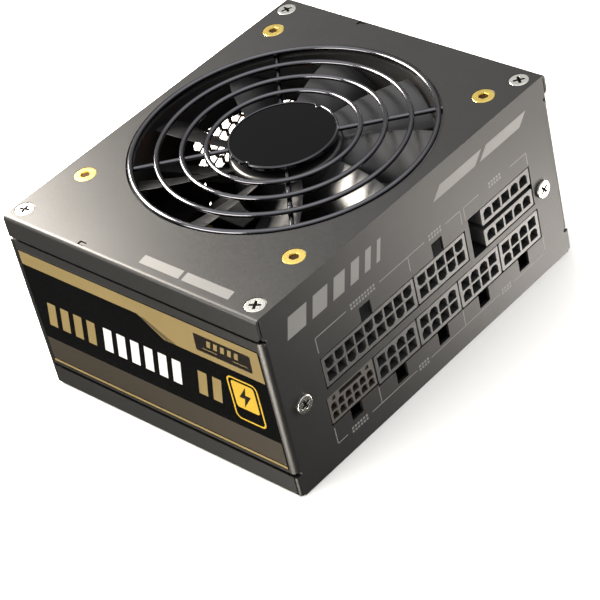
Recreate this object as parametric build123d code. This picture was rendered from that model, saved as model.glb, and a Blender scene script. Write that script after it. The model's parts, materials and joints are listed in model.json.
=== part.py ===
from build123d import *
import math
import os

# A compact modular power supply unit, in millimetres.
# +X runs along the modular panel, the modular panel faces -Y, the mains wall faces +Y,
# the fan faces +Z. The origin is the middle of the underside.

# casing
width = 125.0
depth = 100.0
height = 63.5
sheet = 1.0
cover_sheet = 0.8
corner_bend = 2.0
strip_top = 7.3
slit = 0.9
flange_drop = 7.3
seam = 0.35
relief_r = 0.65
cover_bend = 1.2

# fasteners of the cover, measured in from the casing's edges
cover_screw_x_inset = 5.5
cover_screw_front_inset = 5.0
cover_screw_rear_inset = 3.8
tab_width = 9.0
tab_depth = 9.3
lug_y = 18.4
lug_inset = 2.0

# fan
fan_x = 4.8
fan_y = 0.7
fan_size = 92.0
fan_pitch = 82.5
fan_depth = 15.0
fan_bore_r = 44.9
fan_flange = 3.0
hub_r = 17.0
hub_wall = 1.2
hub_drop = 1.0
blade_count = 9
blade_gap = 1.0
blade_lead_deg = 348.5
shaft_r = 1.5
bearing_gap = 0.03
bearing_r = 2.8
tube_r = 4.0

# finger guard
wire_r = 0.8
spoke_r = 0.75
ring_radii = [45.1, 37.4, 29.9, 22.6]
guard_gap = 0.5
badge_r = 16.3
eyelet_r = 3.05

# flat-headed screws: head and shank radius, height of the cone under the head's rim
fan_screw_head_r = 3.35
fan_screw_r = 2.0
fan_screw_run = 1.2
cover_screw_head_r = 3.0
cover_screw_r = 1.45
cover_screw_run = 0.6
head_rim = 0.15
head_gap = 0.12

# modular panel: socket centres, measured from the middle of the casing and from its underside
pitch = 4.2
cell_wall = 0.7
socket_wall = 0.8
socket_depth = 12.8
socket_recess = 0.1
window_gap = 0.4
upper_z = 31.5
lower_z = 18.0
upper_row_x = 2.6
upper_row_gaps = [0.55, 8.05]
lower_row_x = 2.325
lower_row_gaps = [0.65, 0.6, 0.5, 0.6]
drive_socket_z = [36.05, 28.6]
drive_window_reach = 5.7
fine_pitch = 3.05
fine_cell = 2.4
fine_socket_z = 18.6
latch_w = 4.7
latch_h = 4.8
pin_w = 1.1
fine_pin_w = 0.9
sense_pin_w = 0.6
panel_screw_x_inset = 8.8
panel_screw_z = 28.3

# boards
board = 1.6
standoff_h = 5.1
board_side_gap = 4.0
modular_board_gap = 2.2
post_r = 2.6

# mains wall
mount_inset = 6.0
mount_hole_r = 1.75
hex_pitch = 4.3
hex_flat = 3.6
vent_left = 11.5
inlet_x = -38.0
inlet_z = 22.0
inlet_w = 27.2
inlet_h = 19.8
switch_x = -9.0
switch_z = 22.0
rocker_r = 8.6
rocker_w = 9.8
rocker_gap = 0.3
rocker_throw = 22.0
switch_wall = 0.8
bridge_length = 12.0
bridge_pivot_r = 0.5
bridge_tilt = 4.0

# internal leads
lead_r = 1.0
plug_x = -50.0
plug_y = -24.0
plug_h = 7.5

# labels
label = 0.15

# planes worked out from the sizes above
half_w = width / 2
half_d = depth / 2
band_bottom = strip_top + 1.3
band_top = height - flange_drop - slit
panel_top = height - cover_sheet
spoke_z = panel_top - spoke_r
ring_z = spoke_z + spoke_r + wire_r - 0.1
fan_top = spoke_z - spoke_r
fan_bottom = fan_top - fan_depth
hub_top = fan_top - hub_drop
modular_board_top = fan_bottom - modular_board_gap
cell = pitch - cell_wall
face_y = -half_d + socket_recess
modular_board_y = face_y + socket_depth
board_bottom = sheet + standoff_h
board_top = board_bottom + board
pivot_y = half_d - 2.0


def block(x0, x1, y0, y1, z0, z1):
    """A box between two corners."""
    middle = Pos((x0 + x1) / 2, (y0 + y1) / 2, (z0 + z1) / 2)
    return middle * Box(x1 - x0, y1 - y0, z1 - z0)


def post(x, y, z0, z1, r):
    """A round bar standing up."""
    return Pos(x, y, (z0 + z1) / 2) * Cylinder(r, z1 - z0)


def bar_y(x, z, y0, y1, r):
    """A round bar along Y."""
    return Pos(x, (y0 + y1) / 2, z) * Rot(90, 0, 0) * Cylinder(r, y1 - y0)


def bar_x(y, z, x0, x1, r):
    """A round bar along X."""
    return Pos((x0 + x1) / 2, y, z) * Rot(0, 90, 0) * Cylinder(r, x1 - x0)


def plate_y(outline, x, y, z, thickness):
    """An outline drawn in X and Z, made solid from y towards +Y."""
    return Pos(x, y, z) * Rot(90, 0, 0) * Pos(0, 0, -thickness) * extrude(outline, thickness)


def save(node, *solids):
    """Writes one node, as one solid or as a group of separate ones."""
    parts = []
    for solid in solids:
        parts.extend(solid.solids())
    shape = parts[0] if len(parts) == 1 else Compound(children=parts)
    export_step(shape, "parts/" + node + ".step")


def both_sides(make):
    """The same solid on the -X side and mirrored to the +X side."""
    left = make()
    return [left, mirror(left, Plane.YZ)]


# ---- casing ----

def cover_screw_places():
    xs = half_w - cover_screw_x_inset
    front = -half_d + cover_screw_front_inset
    rear = half_d - cover_screw_rear_inset
    return [(-xs, front), (xs, front), (-xs, rear), (xs, rear)]


def fan_screw_places():
    h = fan_pitch / 2
    return [(fan_x + sx * h, fan_y + sy * h) for sx in (-1, 1) for sy in (-1, 1)]


def panel_screw_places():
    xs = half_w - panel_screw_x_inset
    return [(-xs, panel_screw_z), (xs, panel_screw_z)]


def socket_size(cols, rows, step=pitch, wall=socket_wall):
    return cols * step + 2 * wall, rows * step + 2 * wall


def fine_size():
    return 6 * fine_pitch + 1.0, 9.3


def row_centres(middle, widths, gaps):
    """Centres of housings set side by side about the middle of their row."""
    left = middle - (sum(widths) + sum(gaps)) / 2
    return [left + sum(widths[:i]) + sum(gaps[:i]) + wide / 2 for i, wide in enumerate(widths)]


upper_widths = [socket_size(cols, 2)[0] for cols in (9, 5, 5)]
main_socket_x, aux_socket_x, drive_socket_x = row_centres(upper_row_x, upper_widths, upper_row_gaps)
lower_widths = [fine_size()[0]] + [socket_size(4, 2)[0]] * 4
lower_centres = row_centres(lower_row_x, lower_widths, lower_row_gaps)
fine_socket_x = lower_centres[0]
gpu_socket_x = lower_centres[1:3]
cpu_socket_x = lower_centres[3:]


def panel_windows():
    """The cut-outs that the socket housings and their latches come through."""
    w18, h2 = socket_size(9, 2)
    w10, _ = socket_size(5, 2)
    w8, _ = socket_size(4, 2)
    w5, h1 = socket_size(5, 1)
    wf, hf = fine_size()
    top = upper_z + h2 / 2 + window_gap
    bottom = upper_z - h2 / 2 - window_gap
    cuts = [(main_socket_x - w18 / 2 - window_gap, aux_socket_x + w10 / 2 + window_gap, bottom, top)]
    low = lower_z - h2 / 2 - window_gap
    high = lower_z + h2 / 2 + window_gap
    cuts.append((gpu_socket_x[0] - w8 / 2 - window_gap, cpu_socket_x[1] + w8 / 2 + window_gap, low, high))
    cuts.append((fine_socket_x - wf / 2 - window_gap, gpu_socket_x[0] - w8 / 2,
                 fine_socket_z - hf / 2 - window_gap, high))
    cuts.append((drive_socket_x - w5 / 2 - drive_window_reach, drive_socket_x + w5 / 2 + window_gap,
                 drive_socket_z[1] - h1 / 2 - window_gap, drive_socket_z[0] + h1 / 2 + window_gap))
    for x in (main_socket_x, aux_socket_x):
        cuts.append((x - latch_w / 2, x + latch_w / 2, upper_z, top + latch_h))
    for x in gpu_socket_x + cpu_socket_x:
        cuts.append((x - latch_w / 2, x + latch_w / 2, low - latch_h, lower_z))
    low = fine_socket_z - hf / 2 - window_gap
    half_latch = latch_w / 2
    cuts.append((fine_socket_x - half_latch, fine_socket_x + half_latch, low - latch_h + 0.8, fine_socket_z))
    return cuts


def front_tabs():
    """Turned-in top edge of the modular panel, with a screw tab at each end."""
    z0 = panel_top - sheet
    edge = half_w - 2.0
    lip = block(-edge, edge, -half_d, -half_d + 3.0, z0, panel_top)
    tabs = both_sides(lambda: block(-edge, -edge + tab_width, -half_d, -half_d + tab_depth, z0, panel_top))
    return lip + tabs


def make_chassis():
    """Floor, modular panel and side bands, folded from one sheet."""
    inner = half_w - sheet
    rear = half_d - sheet
    bands = block(-half_w, half_w, -half_d, rear - seam, band_bottom, band_top)
    bands = fillet(bands.edges().filter_by(Axis.Z).group_by(Axis.Y)[0], corner_bend)
    hollow = block(-inner, inner, -half_d + sheet, rear, band_bottom - 1, band_top + 1)
    hollow = fillet(hollow.edges().filter_by(Axis.Z).group_by(Axis.Y)[0], corner_bend - sheet)
    bands = bands - hollow
    low = block(-half_w, half_w, -half_d, rear, 0, strip_top)
    low = fillet(low.edges().filter_by(Axis.Y).group_by(Axis.Z)[0], cover_bend)
    low = fillet(low.edges().filter_by(Axis.X).group_by(Axis.Z)[0].group_by(Axis.Y)[0], sheet * 0.9)
    low = low - block(-inner, inner, -half_d + sheet, rear + 1, sheet, strip_top + 1)
    slot = block(-half_w - 1, -inner, -half_d + sheet, -half_d + sheet + seam, sheet, strip_top + 1)
    slot = slot + bar_x(-half_d + sheet + seam / 2, sheet + 0.2, -half_w - 1, -inner, 0.5)
    low = low - slot - mirror(slot, Plane.YZ)
    upper_edge = half_w - cover_sheet - seam
    neck_edge = half_w - 1.7
    neck = block(-neck_edge, neck_edge, -half_d, -half_d + sheet, 0, band_bottom + 1)
    crown = block(-upper_edge, upper_edge, -half_d, -half_d + sheet, band_top - 1, panel_top)
    crown = crown - block(-half_w, -neck_edge, -half_d - 1, 0, band_top, band_top + slit)
    crown = crown - block(neck_edge, half_w, -half_d - 1, 0, band_top, band_top + slit)
    body = bands + low + neck + crown + front_tabs()
    for x in (-neck_edge, neck_edge):
        for z in (band_top + slit / 2, (strip_top + band_bottom) / 2):
            body = body - bar_y(x, z, -half_d - 1, -half_d + 2, relief_r)
    for x0, x1, z0, z1 in panel_windows():
        body = body - block(x0, x1, -half_d - 1, -half_d + sheet + 1, z0, z1)
    for x, z in panel_screw_places():
        body = body - bar_y(x, z, -half_d - 1, -half_d + 2, 1.7)
    for x, y in cover_screw_places()[:2]:
        body = body - post(x, y, panel_top - 2, panel_top + 1, cover_screw_r + 0.05)
    lug_x = half_w - lug_inset
    lug_inner = -lug_x + 0.6
    lug_foot = band_top - 4
    for side in both_sides(lambda: block(-half_w + sheet, lug_inner, lug_y - 1, lug_y + 1, lug_foot, band_top)
                           + block(-lug_x - 0.4, lug_inner, lug_y - 1, lug_y + 1, lug_foot, height - 0.3)):
        body = body + side
    for x, y in standoff_places():
        body = body - post(x, y, -1, sheet + 1, 1.5)
    return body


def make_cover():
    """Top sheet with the fan hole and a turned-down edge on each side."""
    drop = height - flange_drop
    body = block(-half_w, half_w, -half_d, half_d, drop, height)
    body = fillet(body.edges().filter_by(Axis.Y).group_by(Axis.Z)[-1], cover_bend)
    inner = half_w - cover_sheet
    hollow = block(-inner, inner, -half_d - 1, half_d + 1, drop - 1, panel_top)
    hollow = fillet(hollow.edges().filter_by(Axis.Y).group_by(Axis.Z)[-1], cover_bend - cover_sheet)
    body = body - hollow
    ends = body.edges().filter_by(Axis.X).group_by(Axis.Z)[0]
    body = fillet(ends.group_by(Axis.Y)[0], 2.0)
    body = body - post(fan_x, fan_y, panel_top - 1, height + 1, ring_radii[0] + wire_r + guard_gap)
    for x, y in fan_screw_places():
        body = body - countersink(x, y, fan_screw_head_r, fan_screw_r, fan_screw_run)
    for x, y in cover_screw_places():
        body = body - countersink(x, y, cover_screw_head_r, cover_screw_r, cover_screw_run)
    for x in (-half_w + lug_inset, half_w - lug_inset):
        body = body - block(x - 0.8, x + 0.8, lug_y - 1.3, lug_y + 1.3, panel_top - 1, height + 1)
    return body


def countersink(x, y, head_r, shank_r, run):
    """The hole for a flat-headed screw: the head's rim and cone, then the shank, all a gap wider."""
    top = height - head_rim
    cone = Pos(x, y, top - run / 2) * Cone(shank_r + head_gap, head_r + head_gap, run)
    bore = post(x, y, height - 4, top, shank_r + head_gap)
    return cone + bore + post(x, y, top, height + 1, head_r + head_gap)


def hex_places():
    """Centres of the vent's six-sided holes, clear of the switch and the fixings."""
    row = hex_pitch * math.sqrt(3) / 2
    left = max(vent_left, switch_x + switch_body_size()[0] / 2 + hex_pitch)
    places = []
    for j in range(int((panel_top - 12) / row)):
        z = 6.5 + j * row
        for i in range(int((width - 12) / hex_pitch)):
            x = -half_w + 7.5 + i * hex_pitch + (j % 2) * hex_pitch / 2
            near_mount = any(math.hypot(x - mx, z - mz) < 6.0 for mx, mz in mount_places())
            if not near_mount and left < x < half_w - 6.5:
                places.append((x, z))
    return places


def mount_places():
    x = half_w - mount_inset
    return [(sx * x, z) for sx in (-1, 1) for z in (mount_inset, height - mount_inset)]


def make_rear_panel():
    """Mains wall: honeycomb vent, inlet and switch windows, fixing holes, welding flanges."""
    y0 = half_d - sheet
    body = block(-half_w, half_w, y0, half_d, 0, panel_top)
    body = fillet(body.edges().filter_by(Axis.Y), cover_bend)
    foot = block(-half_w + 12, half_w - 12, y0 - 7, y0, sheet, 2 * sheet)
    lip = block(-half_w + 2, half_w - 2, y0 - 1.5, y0, panel_top - sheet, panel_top)
    body = body + foot + lip
    inner = half_w - sheet
    low, high = band_bottom + 2, band_top - 2
    for side in both_sides(lambda: block(-inner, -inner + sheet, y0 - 8, y0, low, high)):
        body = body + side
    tab_end = -half_w + 2 + tab_width
    tab_y = half_d - tab_depth
    for tab in both_sides(lambda: block(-half_w + 2, tab_end, tab_y, y0, panel_top - sheet, panel_top)):
        body = body + tab
    outline = Sketch() + [Pos(x, z) * RegularPolygon(hex_flat / 2, 6, major_radius=False, rotation=30)
                          for x, z in hex_places()]
    body = body - plate_y(outline, 0, y0 - 0.2, 0, sheet + 0.4)
    body = body - block(inlet_x - inlet_w / 2 - 0.1, inlet_x + inlet_w / 2 + 0.1, y0 - 1, half_d + 1,
                        inlet_z - inlet_h / 2 - 0.1, inlet_z + inlet_h / 2 + 0.1)
    wide, tall = switch_body_size()
    body = body - block(switch_x - wide / 2 - 0.1, switch_x + wide / 2 + 0.1, y0 - 1, half_d + 1,
                        switch_z - tall / 2 - 0.1, switch_z + tall / 2 + 0.1)
    for x, z in mount_places():
        body = body - bar_y(x, z, y0 - 1, half_d + 1, mount_hole_r)
    edge = half_w - cover_sheet - seam
    for notch in both_sides(lambda: block(-half_w - 1, -edge, y0 - 1, half_d + 1, band_top, height)):
        body = body - notch
    for x, y in cover_screw_places()[2:]:
        body = body - post(x, y, panel_top - 2, panel_top + 1, cover_screw_r + 0.05)
    return body


def cross_recess(deep, long=3.4, wide=0.75):
    """The cross of a Phillips head, cut down from z = 0."""
    arm = Box(long, wide, deep)
    return Pos(0, 0, -deep / 2) * (arm + Rot(0, 0, 90) * arm)


def flat_screw(head_r, shank_r, run, length):
    """A flat-headed screw with the top of its head at z = 0."""
    cone = Pos(0, 0, -head_rim - run / 2) * Cone(shank_r, head_r, run)
    return cone + post(0, 0, -head_rim, 0, head_r) + post(0, 0, -length, -head_rim - run, shank_r)


def make_cover_screws():
    """Phillips screws, each head level with the cover and turned its own way."""
    body = flat_screw(cover_screw_head_r, cover_screw_r, cover_screw_run, 7.0)
    screws = []
    for (x, y), turn in zip(cover_screw_places(), [28.0, 50.0, 12.0, 65.0]):
        screws.append(Pos(x, y, height) * (body - Rot(0, 0, turn) * cross_recess(1.1)))
    return screws


def make_panel_screws():
    """Pan-headed Phillips screws that hold the modular board's posts."""
    screws = []
    for (x, z), turn in zip(panel_screw_places(), [20.0, 35.0]):
        head = Cylinder(2.8, 0.9, align=(Align.CENTER, Align.CENTER, Align.MIN))
        head = fillet(head.edges().group_by(Axis.Z)[-1], 0.5)
        head = head - Pos(0, 0, 0.9) * Rot(0, 0, turn) * cross_recess(0.8, 3.0, 0.7)
        body = head + post(0, 0, -6.0, 0, 1.45)
        screws.append(Pos(x, -half_d, z) * Rot(90, 0, 0) * body)
    return screws


def make_fan_screws():
    """Flat-headed screws with a hexagon socket, through the guard's eyelets into the fan."""
    body = flat_screw(fan_screw_head_r, fan_screw_r, fan_screw_run, 8.5)
    socket = extrude(RegularPolygon(1.35, 6, major_radius=False), 1.2)
    body = body - Pos(0, 0, -1.2) * socket
    return [Pos(x, y, height) * body for x, y in fan_screw_places()]


# ---- finger guard ----

def make_guard():
    """Four round wires on four spokes, each spoke ending in an eyelet under the cover."""
    centre = Pos(fan_x, fan_y, 0)
    body = Part()
    for r in ring_radii:
        body = body + centre * Pos(0, 0, ring_z) * Torus(r, wire_r)
    reach = fan_pitch / math.sqrt(2)
    for k in range(4):
        start = 3.0
        end = reach - eyelet_r
        spoke = Pos((start + end) / 2, 0, spoke_z) * Rot(0, 90, 0) * Cylinder(spoke_r, end - start)
        eyelet = Pos(reach, 0, spoke_z) * Torus(eyelet_r, spoke_r)
        body = body + centre * Rot(0, 0, 45 + 90 * k) * (spoke + eyelet)
    return body


def make_badge():
    """Plain disc over the crossing of the spokes, with two small notches in its rim."""
    z0 = spoke_z + spoke_r
    top = ring_z + wire_r - 0.1
    body = post(0, 0, z0, top, badge_r)
    body = chamfer(body.edges().group_by(Axis.Z)[-1], 0.35)
    for x in (-badge_r, badge_r):
        body = body - post(x, 0, z0 - 1, top + 1, 0.9)
    return Pos(fan_x, fan_y, 0) * body


# ---- fan ----

def fan_part(shape):
    return Pos(fan_x, fan_y, 0) * shape


def make_fan_frame():
    """Square frame with a round bore, open corners, four arms and the bearing tube."""
    half = fan_size / 2
    body = Part()
    for z in (fan_bottom, fan_top - fan_flange):
        body = body + block(-half, half, -half, half, z, z + fan_flange)
    body = fillet(body.edges().filter_by(Axis.Z), 4.0)
    body = body + post(0, 0, fan_bottom, fan_top, half)
    body = body - post(0, 0, fan_bottom - 1, fan_top + 1, fan_bore_r)
    for sx in (-1, 1):
        for sy in (-1, 1):
            x, y = sx * fan_pitch / 2, sy * fan_pitch / 2
            body = body - post(x, y, fan_bottom - 1, fan_top + 1, fan_screw_r + 0.05)
    for k in range(4):
        arm = block(hub_r - 3.5, half - 0.5, -2.0, 2.0, fan_bottom, fan_bottom + 2.5)
        body = body + Rot(0, 0, 20 + 90 * k) * arm
    body = body + post(0, 0, fan_bottom, fan_bottom + 1.8, hub_r)
    body = body + post(0, 0, fan_bottom, hub_top - 4.0, tube_r)
    body = body - post(0, 0, fan_bottom + 1.0, hub_top, bearing_r)
    return fan_part(body)


def make_bearing():
    """Bronze sleeve pressed into the tube."""
    body = post(0, 0, fan_bottom + 1.8, hub_top - 4.3, bearing_r)
    return fan_part(body - post(0, 0, fan_bottom, hub_top, shaft_r + bearing_gap))


def make_shaft():
    return fan_part(post(0, 0, fan_bottom + 1.3, hub_top - 0.6, shaft_r))


def blade_section(radius, middle_deg, half_chord, z0, z1, bow):
    """A thin bowed strip across the blade, in the plane at right angles to its radius."""
    rise = z1 - z0
    length = math.hypot(2 * half_chord, rise)
    thick = 1.1
    tip = 0.35
    top = ThreePointArc((-length / 2, tip), (0, bow + thick / 2), (length / 2, tip))
    low = ThreePointArc((length / 2, -tip), (0, bow - thick / 2), (-length / 2, -tip))
    closing = [Line((-length / 2, -tip), (-length / 2, tip)), Line((length / 2, tip), (length / 2, -tip))]
    outline = make_face(Curve() + [top, low] + closing)
    slope = math.degrees(math.atan2(rise, 2 * half_chord))
    where = Plane(origin=(radius, 0, (z0 + z1) / 2), x_dir=(0, 1, 0), z_dir=(1, 0, 0))
    return Rot(0, 0, middle_deg) * (where * (Rot(0, 0, slope) * outline))


def make_rotor():
    """Hub cup with swept blades; each blade's leading edge is its upper one."""
    skirt_bottom = fan_bottom + 2.6
    hub = post(0, 0, skirt_bottom, hub_top, hub_r)
    hub = fillet(hub.edges().group_by(Axis.Z)[-1], 1.0)
    hub = hub - post(0, 0, skirt_bottom - 1, hub_top - hub_wall, hub_r - hub_wall)
    hub = hub + post(0, 0, hub_top - 3.4, hub_top - 0.1, 3.2)
    hub = hub - post(0, 0, fan_bottom, hub_top - 0.6, shaft_r)
    low = fan_bottom + 4.2
    high = fan_top - 1.6
    tip_r = fan_bore_r - blade_gap
    stations = [
        (hub_r - 0.9, -8.0, 4.9, low, high - 0.6, 0.9),
        ((hub_r + tip_r) / 2, -10.0, 6.6, low, high, 1.2),
        (tip_r + 2.0, -13.5, 8.0, low + 0.6, high, 1.3),
    ]
    blade = loft([blade_section(*station) for station in stations])
    trim = post(0, 0, low - 8, high + 8, tip_r) - post(0, 0, low - 9, high + 9, hub_r - 0.6)
    blade = blade & trim
    body = hub
    for k in range(blade_count):
        body = body + Rot(0, 0, blade_lead_deg + k * 360 / blade_count) * blade
    return fan_part(body)


def make_yoke():
    """Steel ring inside the hub that carries the magnet."""
    r = hub_r - hub_wall
    top = hub_top - hub_wall
    return fan_part(post(0, 0, top - 8.5, top, r) - post(0, 0, top - 9, top + 1, r - 0.7))


def make_magnet():
    r = hub_r - hub_wall - 0.7
    top = hub_top - hub_wall
    return fan_part(post(0, 0, top - 8.0, top - 0.5, r) - post(0, 0, top - 9, top + 1, r - 1.5))


def make_stator():
    """Laminated core with four poles, on the bearing tube."""
    z0 = fan_bottom + 4.6
    outer = hub_r - hub_wall - 0.7 - 1.5 - 0.6
    core = post(0, 0, z0, z0 + 3.6, 5.5)
    for k in range(4):
        pole = block(0, outer - 1, -1.6, 1.6, z0, z0 + 3.6)
        core = core + Rot(0, 0, 90 * k) * pole
    shoes = post(0, 0, z0, z0 + 3.6, outer) - post(0, 0, z0 - 1, z0 + 5, outer - 1.6)
    for k in range(4):
        shoes = shoes - Rot(0, 0, 45 + 90 * k) * block(0, outer + 1, -2.4, 2.4, z0 - 1, z0 + 5)
    return fan_part(core + shoes - post(0, 0, z0 - 1, z0 + 5, tube_r))


def make_coils():
    """Four windings round the poles."""
    z0 = fan_bottom + 4.6
    outer = hub_r - hub_wall - 0.7 - 1.5 - 0.6
    coils = []
    for k in range(4):
        wound = block(5.9, outer - 2.4, -3.1, 3.1, z0 - 1.1, z0 + 4.7)
        wound = wound - block(5, outer, -1.65, 1.65, z0 - 0.05, z0 + 3.65)
        coils.append(fan_part(Rot(0, 0, 90 * k) * wound))
    return coils


def make_fan_board():
    z0 = fan_bottom + 2.0
    return fan_part(post(0, 0, z0, z0 + 1.0, 12.5) - post(0, 0, z0 - 1, z0 + 2, tube_r))


# ---- modular sockets ----

def cell_outline(size, cut, corners):
    """A square, or a square with its two corners on one side cut off (+1 top, -1 bottom, 0 none)."""
    h = size / 2
    if corners == 0:
        return Rectangle(size, size)
    points = [(-h, -h), (h, -h), (h, h - cut), (h - cut, h), (cut - h, h), (-h, h - cut)]
    outline = Polygon(*points, align=None)
    return outline if corners > 0 else Rot(0, 0, 180) * outline


def latch_ramp(x, z, side):
    """The catch that a plug's latch hooks over: side is +1 above the housing, -1 below."""
    base = -0.3 * side
    profile = Polygon((1.2, base), (3.4, 1.6 * side), (7.0, 1.6 * side), (7.0, base), align=None)
    wedge = extrude(profile, 3.2)
    turned = Plane(origin=(x - 1.6, face_y, z), x_dir=(0, 1, 0), z_dir=(1, 0, 0))
    return turned * wedge


def make_socket(x, z, rows, side):
    """A housing from its rows of cells, top row first; D has two corners cut, S is square."""
    cols = len(rows[0])
    wide, tall = socket_size(cols, len(rows))
    body = block(x - wide / 2, x + wide / 2, face_y, modular_board_y, z - tall / 2, z + tall / 2)
    body = fillet(body.edges().filter_by(Axis.Y), 0.4)
    cells = Sketch()
    for j, row in enumerate(rows):
        for i, kind in enumerate(row):
            corner = -side if kind == "D" else 0
            place = Pos((i - (cols - 1) / 2) * pitch, ((len(rows) - 1) / 2 - j) * pitch)
            cells = cells + place * cell_outline(cell, 0.95, corner)
    body = body - plate_y(cells, x, face_y - 0.5, z, socket_depth - 2.3)
    if side and len(rows) > 1:
        body = body + latch_ramp(x, z + side * tall / 2, side)
    holes = Sketch() + [Pos(px - x, pz - z) * Rectangle(pin_w, pin_w)
                        for px, pz in pin_places(x, z, cols, len(rows), pitch)]
    return body - plate_y(holes, x, face_y + 1, z, socket_depth)


def pin_places(x, z, cols, rows, step):
    places = []
    for j in range(rows):
        for i in range(cols):
            places.append((x + (i - (cols - 1) / 2) * step, z + ((rows - 1) / 2 - j) * step))
    return places


def pin(x, z, size):
    """A square contact pin, from just inside the socket's mouth to behind the board."""
    h = size / 2
    return block(x - h, x + h, face_y + 3.0, modular_board_y + board + 1.6, z - h, z + h)


def make_pins():
    """Every contact of the modular panel, a separate pin each."""
    pins = [pin(x, z, pin_w) for x, z in large_pins()]
    pins += [pin(x, z, fine_pin_w) for x, z in fine_cells()]
    pins += [pin(x, z, sense_pin_w) for x, z in sense_cells()]
    return pins


def fine_cells():
    return pin_places(fine_socket_x, fine_socket_z - 0.98, 6, 2, fine_pitch)


def sense_cells():
    return [(fine_socket_x + (i - 1.5) * 2.0, fine_socket_z + 3.35) for i in range(4)]


def make_fine_socket():
    """The twelve-way graphics socket with its slot for four sensing contacts."""
    wide, tall = fine_size()
    x, z = fine_socket_x, fine_socket_z
    body = block(x - wide / 2, x + wide / 2, face_y, modular_board_y, z - tall / 2, z + tall / 2)
    body = fillet(body.edges().filter_by(Axis.Y), 0.4)
    cells = Sketch()
    for px, pz in fine_cells():
        cells = cells + Pos(px - x, pz - z) * cell_outline(fine_cell, 0.6, 1)
    cells = cells + Pos(0, 3.35) * Rectangle(9.4, 1.5)
    body = body - plate_y(cells, x, face_y - 0.5, z, socket_depth - 2.3)
    for px in (x - 7.1, x + 7.1):
        body = body - block(px - 0.7, px + 0.7, face_y - 1, face_y + 0.4, z + 2.7, z + 4.0)
    body = body + latch_ramp(x, z - tall / 2, -1)
    holes = Sketch() + [Pos(px - x, pz - z) * Rectangle(fine_pin_w, fine_pin_w) for px, pz in fine_cells()]
    holes = holes + [Pos(px - x, pz - z) * Rectangle(sense_pin_w, sense_pin_w) for px, pz in sense_cells()]
    return body - plate_y(holes, x, face_y + 1, z, socket_depth)


def socket_layout():
    """The large-cell sockets of each node: places, rows of cells, and the side the latch is on."""
    return {
        "main_socket": ([(main_socket_x, upper_z)], ["DDSSDDSSD", "SSDDSSDDS"], 1),
        "aux_socket": ([(aux_socket_x, upper_z)], ["DDSSD", "SSDDS"], 1),
        "drive_sockets": ([(drive_socket_x, z) for z in drive_socket_z], ["DSSDD"], -1),
        "graphics_sockets": ([(x, lower_z) for x in gpu_socket_x], ["SDDD", "DDSS"], -1),
        "processor_sockets": ([(x, lower_z) for x in cpu_socket_x], ["SDDS", "DSSD"], -1),
    }


def large_pins():
    pins = []
    for places, rows, _ in socket_layout().values():
        for x, z in places:
            pins.extend(pin_places(x, z, len(rows[0]), len(rows), pitch))
    return pins


# ---- boards ----

def standoff_places():
    x = half_w - 8.5
    front = modular_board_y + board + 5.0
    return [(-x, front), (x, front), (-x, half_d - 12), (x, half_d - 12)]


def make_modular_board():
    edge = half_w - sheet - board_side_gap
    y0 = modular_board_y
    body = block(-edge, edge, y0, y0 + board, board_bottom - 3, modular_board_top)
    holes = Sketch() + [Pos(x, z) * Rectangle(pin_w, pin_w) for x, z in large_pins()]
    holes = holes + [Pos(x, z) * Rectangle(fine_pin_w, fine_pin_w) for x, z in fine_cells()]
    holes = holes + [Pos(x, z) * Rectangle(sense_pin_w, sense_pin_w) for x, z in sense_cells()]
    body = body - plate_y(holes, 0, y0 - 1, 0, board + 2)
    for x, z in panel_screw_places():
        body = body - bar_y(x, z, y0 - 1, y0 + board + 1, 1.6)
    return body


def make_board_posts():
    """Round spacers between the modular panel and its board."""
    posts = []
    for x, z in panel_screw_places():
        body = bar_y(x, z, -half_d + sheet, modular_board_y, post_r)
        body = body + bar_y(x, z, modular_board_y, modular_board_y + board, 1.55)
        posts.append(body - bar_y(x, z, -half_d, -half_d + sheet + 6.5, 1.5))
    return posts


def make_main_board():
    edge = half_w - sheet - board_side_gap
    y0 = modular_board_y + board + 0.8
    body = block(-edge, edge, y0, half_d - 4.0, board_bottom, board_top)
    for x, y in standoff_places():
        body = body - post(x, y, board_bottom - 1, board_top + 1, 1.6)
    return body


def make_standoffs():
    bars = []
    for x, y in standoff_places():
        body = post(x, y, sheet, board_bottom, 2.8) + post(x, y, 0.1, sheet, 1.5)
        bars.append(body - post(x, y, sheet + 0.6, board_bottom + 1, 1.3))
    return bars


def make_board_screws():
    screws = []
    for x, y in standoff_places():
        head = post(x, y, board_top, board_top + 1.8, 2.7)
        head = fillet(head.edges().group_by(Axis.Z)[-1], 0.6)
        body = head + post(x, y, board_top - 5.0, board_top, 1.25)
        screws.append(body - Pos(x, y, board_top + 1.8) * cross_recess(1.0, 3.0, 0.6))
    return screws


def make_insulator():
    """Thin plastic sheet under the main board, clear of the standoffs."""
    edge = half_w - sheet - 1.0
    body = block(-edge, edge, -half_d + sheet + 0.5, half_d - sheet - 7.5, sheet, sheet + 0.35)
    for x, y in standoff_places():
        body = body - post(x, y, 0, 3, 3.4)
    return body


def make_board_links():
    """Copper straps that carry the outputs from the main board to the modular board."""
    straps = []
    y1 = modular_board_y + board
    for i in range(7):
        x = -36 + 12 * i
        foot = block(x - 3.5, x + 3.5, y1 + 1.4, y1 + 6.4, board_top, board_top + 0.8)
        riser = block(x - 3.5, x + 3.5, y1 + 0.6, y1 + 1.4, board_top, board_top + 5.0)
        tongue = block(x - 3.5, x + 3.5, y1, y1 + 0.6, board_top + 3.4, board_top + 5.0)
        straps.append(foot + riser + tongue)
    return straps


# ---- parts on the main board ----

def can(x, y, r, tall, groove=1.6):
    """A capacitor can with a rolled groove near its foot."""
    body = post(x, y, board_top, board_top + tall, r)
    body = fillet(body.edges().group_by(Axis.Z)[-1], min(0.8, r / 5))
    ring = Pos(x, y, board_top + groove) * Torus(r + 0.15, 0.45)
    return body - ring


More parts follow.
